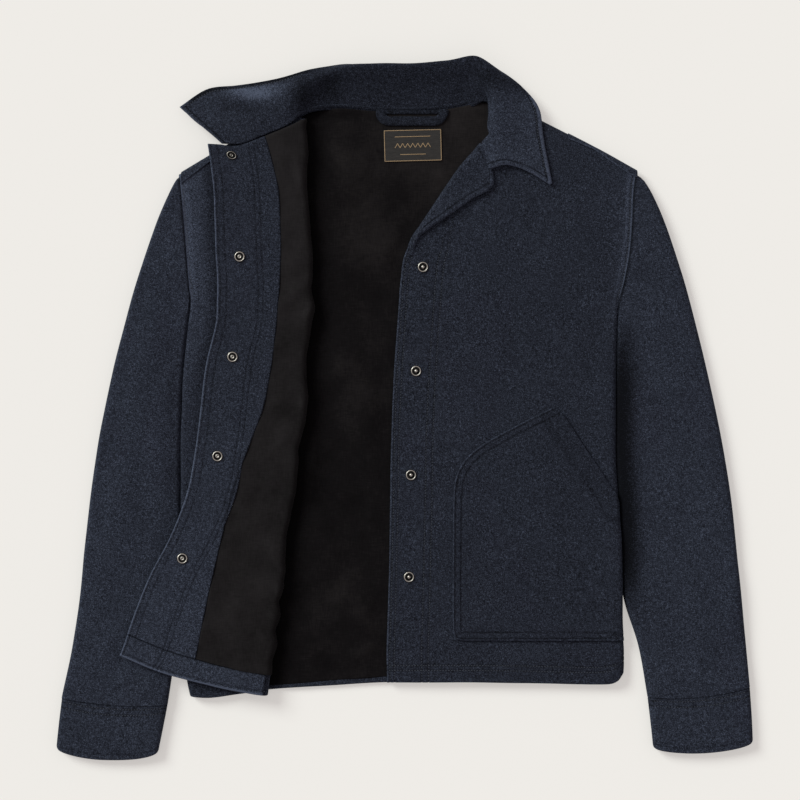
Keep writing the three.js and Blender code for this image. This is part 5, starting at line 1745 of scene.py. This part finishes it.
label_faces = label_slab(LABEL_WIDTH / 2, LABEL_HEIGHT / 2, -0.45, 0.35)
label = cloth("neck_label_ground", *label_faces, np.zeros(label_faces[0].shape[:2]), LABEL_CLOTH,
              "label", ["label"])


def yarn_strip(ends, half=0.42, height=0.26):
    """A flat bar of yarn between two places on the label, as eight points."""
    (u0, v0), (u1, v1) = ends
    length = math.hypot(u1 - u0, v1 - v0)
    side_u = -(v1 - v0) / length * half
    side_v = (u1 - u0) / length * half
    u = np.array([u0 - side_u, u1 - side_u, u1 + side_u, u0 + side_u])
    v = np.array([v0 - side_v, v1 - side_v, v1 + side_v, v0 + side_v])
    return np.concatenate([label_place(u, v, 0.2), label_place(u, v, 0.35 + height)])


border_u = LABEL_WIDTH / 2 - 0.9
border_v = LABEL_HEIGHT / 2 - 0.9
bars = [((-border_u, v), (border_u, v)) for v in (-border_v, border_v)]
bars += [((u, -border_v), (u, border_v)) for u in (-border_u, border_u)]
bars += [((-21, 10.5), (21, 10.5)), ((-15, -10.5), (15, -10.5))]
for number in range(7):
    start_u = -21 + 6 * number
    bars.append(((start_u, -2.6), (start_u + 3, 2.6)))
    bars.append(((start_u + 3, 2.6), (start_u + 6, -2.6)))
BAR_FACES = np.array([
    [3, 2, 1, 0], [4, 5, 6, 7], [0, 1, 5, 4], [1, 2, 6, 5], [2, 3, 7, 6], [3, 0, 4, 7]])
fine_bars = []
for (u0, v0), (u1, v1) in bars:
    parts = max(int(math.hypot(u1 - u0, v1 - v0) / 1.1), 1)
    share = np.linspace(0, 1, parts + 1)
    for first, final in zip(share[:-1], share[1:] - 0.12 / parts):
        fine_bars.append([(between(u0, u1, at), between(v0, v1, at)) for at in (first, final)])
bar_points = np.concatenate([yarn_strip(ends) for ends in fine_bars])
bar_quads = (np.arange(len(fine_bars))[:, None, None] * 8 + BAR_FACES).reshape(-1, 4)
piece("neck_label_yarn", bar_points, facing_out(bar_points, bar_quads), LABEL_YARN)


# Press fasteners. The first socket leans where the collar lifts the cloth
FIRST_LEAN = 0.75
LEAN_WAY = 0.45
# Profiles from the top's middle out and down to the foot: radius, height and how dark it is,
# which is patina in the grooves and painted shade on the outer bevel
SNAP_PROFILES = {
    "stud": [(0, 3.0, 0), (0.8, 2.95, 0), (1.5, 2.7, 0.15), (1.9, 2.1, 0.7), (1.9, 1.5, 1),
             (2.3, 0.8, 1), (3.2, 0.5, 1), (4.1, 0.6, 1), (4.6, 1.2, 0.9), (5.0, 1.7, 0.15),
             (5.45, 1.75, 0), (5.85, 1.3, 0.5), (6.15, 0.8, 0.95), (6.4, 0.1, 1), (0, 0, 1)],
    "socket": [(0, 0.5, 1), (0.6, 0.55, 0.8), (1.0, 0.9, 0.2), (1.5, 1.35, 0), (2.0, 1.2, 0.4),
               (2.5, 0.6, 1), (3.3, 0.4, 1), (4.1, 0.6, 1), (4.6, 1.3, 0.9), (5.0, 1.8, 0.15),
               (5.45, 1.85, 0), (5.9, 1.3, 0.5), (6.2, 0.7, 0.95), (6.45, 0.1, 1), (0, 0, 1)],
    "cap": [(0, 0, 0.3), (6.2, 0, 0.3), (6.5, -0.15, 0.2), (6.5, -0.4, 0.1), (6.1, -0.75, 0),
            (5, -1.1, 0), (2.6, -1.28, 0.1), (0, -1.3, 0.1)],
}


def snap(kind, number, place, lean=0.0):
    """A fastener: its profile turned about the upright axis, radius times cosine and sine. One
    that leans is seen shorter across its lean, and darker by painted shade."""
    profile = np.array(SNAP_PROFILES[kind], float)
    angle = np.linspace(0, 2 * np.pi, SNAP_SEGMENTS, endpoint=False)
    radius, height = profile[1:-1, 0:1], profile[1:-1, 1:2]
    rings = np.stack([radius * np.cos(angle), radius * np.sin(angle), height + 0 * angle], -1)
    across_lean = rings[..., 0] * math.sin(LEAN_WAY) + rings[..., 1] * math.cos(LEAN_WAY)
    shorter = across_lean * (1 - math.cos(lean))
    rings[..., 0] -= shorter * math.sin(LEAN_WAY)
    rings[..., 1] -= shorter * math.cos(LEAN_WAY)
    ends = [np.add(place, [0, 0, end]) for end in profile[[0, -1], 1]]
    points, faces = closed_rings(rings + np.asarray(place), ends)
    groove = np.concatenate([np.repeat(profile[1:-1, 2], SNAP_SEGMENTS), profile[[0, -1], 2]])
    piece(f"{kind}_{number}_metal", points, faces, METAL, [f"{kind}_{number}"],
          {"groove": groove + 0.5 * lean})


for number, (x, y) in enumerate(STUDS, 1):
    snap("stud", number, (x, y, left_height(x + SNAP_RADIUS, y) + GAP))
for number, (x, y) in enumerate(SOCKETS, 1):
    snap("socket", number, (x, y, flap_height(x + SNAP_RADIUS, y, FACING_FACE) + GAP),
         FIRST_LEAN if number == 1 else 0.0)
    snap("cap", number, (x, y, flap_height(x - SNAP_RADIUS, y, 0) - GAP))

# Topstitching
def run_on(top, x, y, keep=True):
    """A run of stitches on the face whose height is top, at the places where keep holds."""
    x, y, keep = np.broadcast_arrays(x, y, keep)
    return upright(x[keep], y[keep], top(x[keep], y[keep]))


def flap_top(relief):
    """Height of the flap's wool with the given relief, as a function of x and y."""
    return lambda x, y: flap_height(x, y, FACING_FACE) + relief(x, y)


def lower_front_top(x, y):
    """Height of the right front's lower leg beside its armhole, in the stitching's channel."""
    return BODY_TOP + lower_leg_lie(x, y) + grooves(np.full(len(x), ARMHOLE_ROW), (ARMHOLE_ROW,))


front_runs = []
for rows, last, count in ((FRONT_ROWS, 202, 260), (PLACKET_ROWS, 238, 280)):
    y = np.linspace(-321, last, count)
    front_runs += [run_on(front_top, front_edge_x(y) + row, y) for row in rows]
x = np.linspace(level(-310, "front_edge") + 2, 250, 140)
front_runs += [run_on(front_top, x, across(HEM, x) + row) for row in HEM_ROWS]
y = np.linspace(UNDERARM + 3, 272, 80)
front_runs.append(run_on(front_top, level(y, "side_left") - ARMHOLE_ROW, y))
stitching("front_left_stitching", front_runs)

POCKET_LAST = 249
pocket_lines = []
for row in POCKET_ROWS:
    line = moved_in(POCKET_SEWN, row)
    below_mouth = line[:, 1] < across(POCKET_MOUTH, np.maximum(line[:, 0], POCKET_TIP[0])) - 2
    pocket_lines.append(line[below_mouth & (line[:, 0] < POCKET_LAST)])
for row in MOUTH_ROWS:
    line = moved_in(POCKET_OPEN, -row)
    inside = away_from(*plan(line), POCKET_SEWN) > 3
    pocket_lines.append(line[inside & (line[:, 0] < POCKET_LAST)])
pocket_runs = [run_on(pocket_top, *plan(polyline(line))) for line in pocket_lines]
stitching("pocket_left_stitching", pocket_runs)

facing_runs = []
for row in FACING_ROWS + FACING_PLACKET_ROWS:
    y = np.linspace(-256, 304, 280)
    x = level(y, "flap_edge") + row
    keep = (y > across(FLAP_BAND, x) + 1.5) & (y < across(FLAP_NECK, x) - 2)
    facing_runs.append(run_on(flap_top(facing_relief), x, y, keep))
for row in FACING_ROWS[:1] + FACING_PLACKET_ROWS:
    y = np.linspace(-330, -256, 60)
    x = level(y, "flap_edge") + row
    keep = (y < across(FLAP_BAND, x) - 1.5) & (y > across(FLAP_HEM, x) + 2)
    facing_runs.append(run_on(flap_top(band_relief), x, y, keep))
x = np.linspace(-330, -164, 100)
facing_runs.append(run_on(flap_top(band_relief), x, across(FLAP_HEM, x) + BAND_ROW))
y = np.linspace(UNDERARM + 3, 264, 70)
facing_runs.append(run_on(lower_front_top, level(y, "side_right") + ARMHOLE_ROW, y))
stitching("front_right_stitching", facing_runs)


def lines_at(near, grid, normal, row, chosen):
    """Points of a grid where the distance from an edge equals row, one on each chosen row of
    the grid, found between the two columns on either side of it."""
    points = []
    ups = []
    for i in chosen:
        inside = np.nonzero(near[i] > row)[0]
        if len(inside) == 0:
            continue
        j = inside[-1]
        if j + 1 >= near.shape[1]:
            continue
        share = (near[i, j] - row) / (near[i, j] - near[i, j + 1])
        points.append(between(grid[i, j], grid[i, j + 1], share))
        ups.append(normal[i, j])
    return np.array(points), np.array(ups)


collar_face_up = -collar_normal
collar_seen = collar_up + collar_face_up * collar_relief[..., None]
leaf_rows = np.nonzero((collar_at > 0.76) & (collar_at < 0.985))[0]
wing_rows = np.nonzero((collar_at > 0.012) & (collar_at < 0.27))[0]
lapel_up = normals_of(lapel_walls[0])
if lapel_up[..., 2].sum() < 0:
    lapel_up = -lapel_up
lapel_seen = lapel_walls[0] + lapel_up * lapel_lie[..., None]
collar_runs = [
    lines_at(from_edge, collar_seen, collar_face_up, LEAF_ROW, leaf_rows),
    lines_at(from_edge, collar_seen, collar_face_up, LEAF_ROW, wing_rows),
    lines_at(lapel_near, lapel_seen, lapel_up, LAPEL_ROW, range(14, 80)),
]
stitching("collar_stitching", collar_runs)

# Floor, light and camera
# The floor glows a little, like a lit table, so the shadows on it stay soft
FLOOR = Finish("pale_floor")
FLOOR_LIGHT = 0.50
FLOOR_COLOUR = (0.863, 0.838, 0.799)
floor_tone = FLOOR.noise(0.25)
floor_share = 1 - FLOOR_LIGHT
floor_ends = [(*(share * floor_share * c for c in FLOOR_COLOUR), 1) for share in (0.995, 1.005)]
floor_colour = FLOOR.blended(floor_tone, *floor_ends)
FLOOR.surface(Base_Color=floor_colour, Roughness=0.95, Specular_IOR_Level=0.0,
              Emission_Color=(*FLOOR_COLOUR, 1), Emission_Strength=FLOOR_LIGHT)
floor_mesh = bpy.data.meshes.new("floor")
HALF_FLOOR = 6.0
FLOOR_Z = -0.0004
corners = ((-1, -1), (1, -1), (1, 1), (-1, 1))
floor_mesh.from_pydata([(x * HALF_FLOOR, y * HALF_FLOOR, FLOOR_Z) for x, y in corners], [],
                       [(0, 1, 2, 3)])
floor_mesh.materials.append(FLOOR.material)
floor = bpy.data.objects.new("floor", floor_mesh)
bpy.context.scene.collection.objects.link(floor)

# Window light from the upper left, over the even light of the room. Together they give one
# unit of light on level ground
SKY_STRENGTH = 0.46
SUN_TILT = math.radians(58)
SUN_TURN = math.radians(-128)
SUN_WIDTH = math.radians(26)
SUN_COLOUR = (0.955, 1.025, 1.0)
SKY_COLOUR = (1.05, 0.97, 1.0, 1)
SUN_STRENGTH = (1 - SKY_STRENGTH) * math.pi / math.cos(SUN_TILT)
world = bpy.data.worlds.new("studio")
world.use_nodes = True
background = world.node_tree.nodes["Background"].inputs
background["Color"].default_value = SKY_COLOUR
background["Strength"].default_value = SKY_STRENGTH
bpy.context.scene.world = world
sun_data = bpy.data.lights.new("window", "SUN")
sun_data.energy = SUN_STRENGTH
sun_data.angle = SUN_WIDTH
sun_data.color = SUN_COLOUR
sun = bpy.data.objects.new("window", sun_data)
sun.rotation_euler = (SUN_TILT, 0, SUN_TURN)
bpy.context.scene.collection.objects.link(sun)
bpy.context.scene.view_settings.view_transform = "Standard"

# The photograph is taken from straight above, and one pixel is 1.18 mm on the jacket
IMAGE_SIZE = 800
PIXEL = 1.18
ORIGIN_PIXEL = (404.75, 408.25)
CAMERA_HEIGHT = 3.2
SENSOR = 36.0
middle_x = (IMAGE_SIZE / 2 - ORIGIN_PIXEL[0]) * PIXEL
middle_y = (ORIGIN_PIXEL[1] - IMAGE_SIZE / 2) * PIXEL
camera_data = bpy.data.cameras.new("camera")
camera_data.sensor_width = SENSOR
camera_data.lens = SENSOR * CAMERA_HEIGHT / (IMAGE_SIZE * PIXEL * MM)
camera_data.clip_end = 50
camera = bpy.data.objects.new("camera", camera_data)
camera.location = ((middle_x + ORIGIN[0]) * MM, (middle_y + ORIGIN[1]) * MM,
                   CAMERA_HEIGHT + BODY_TOP * MM)
bpy.context.scene.collection.objects.link(camera)
bpy.context.scene.camera = camera
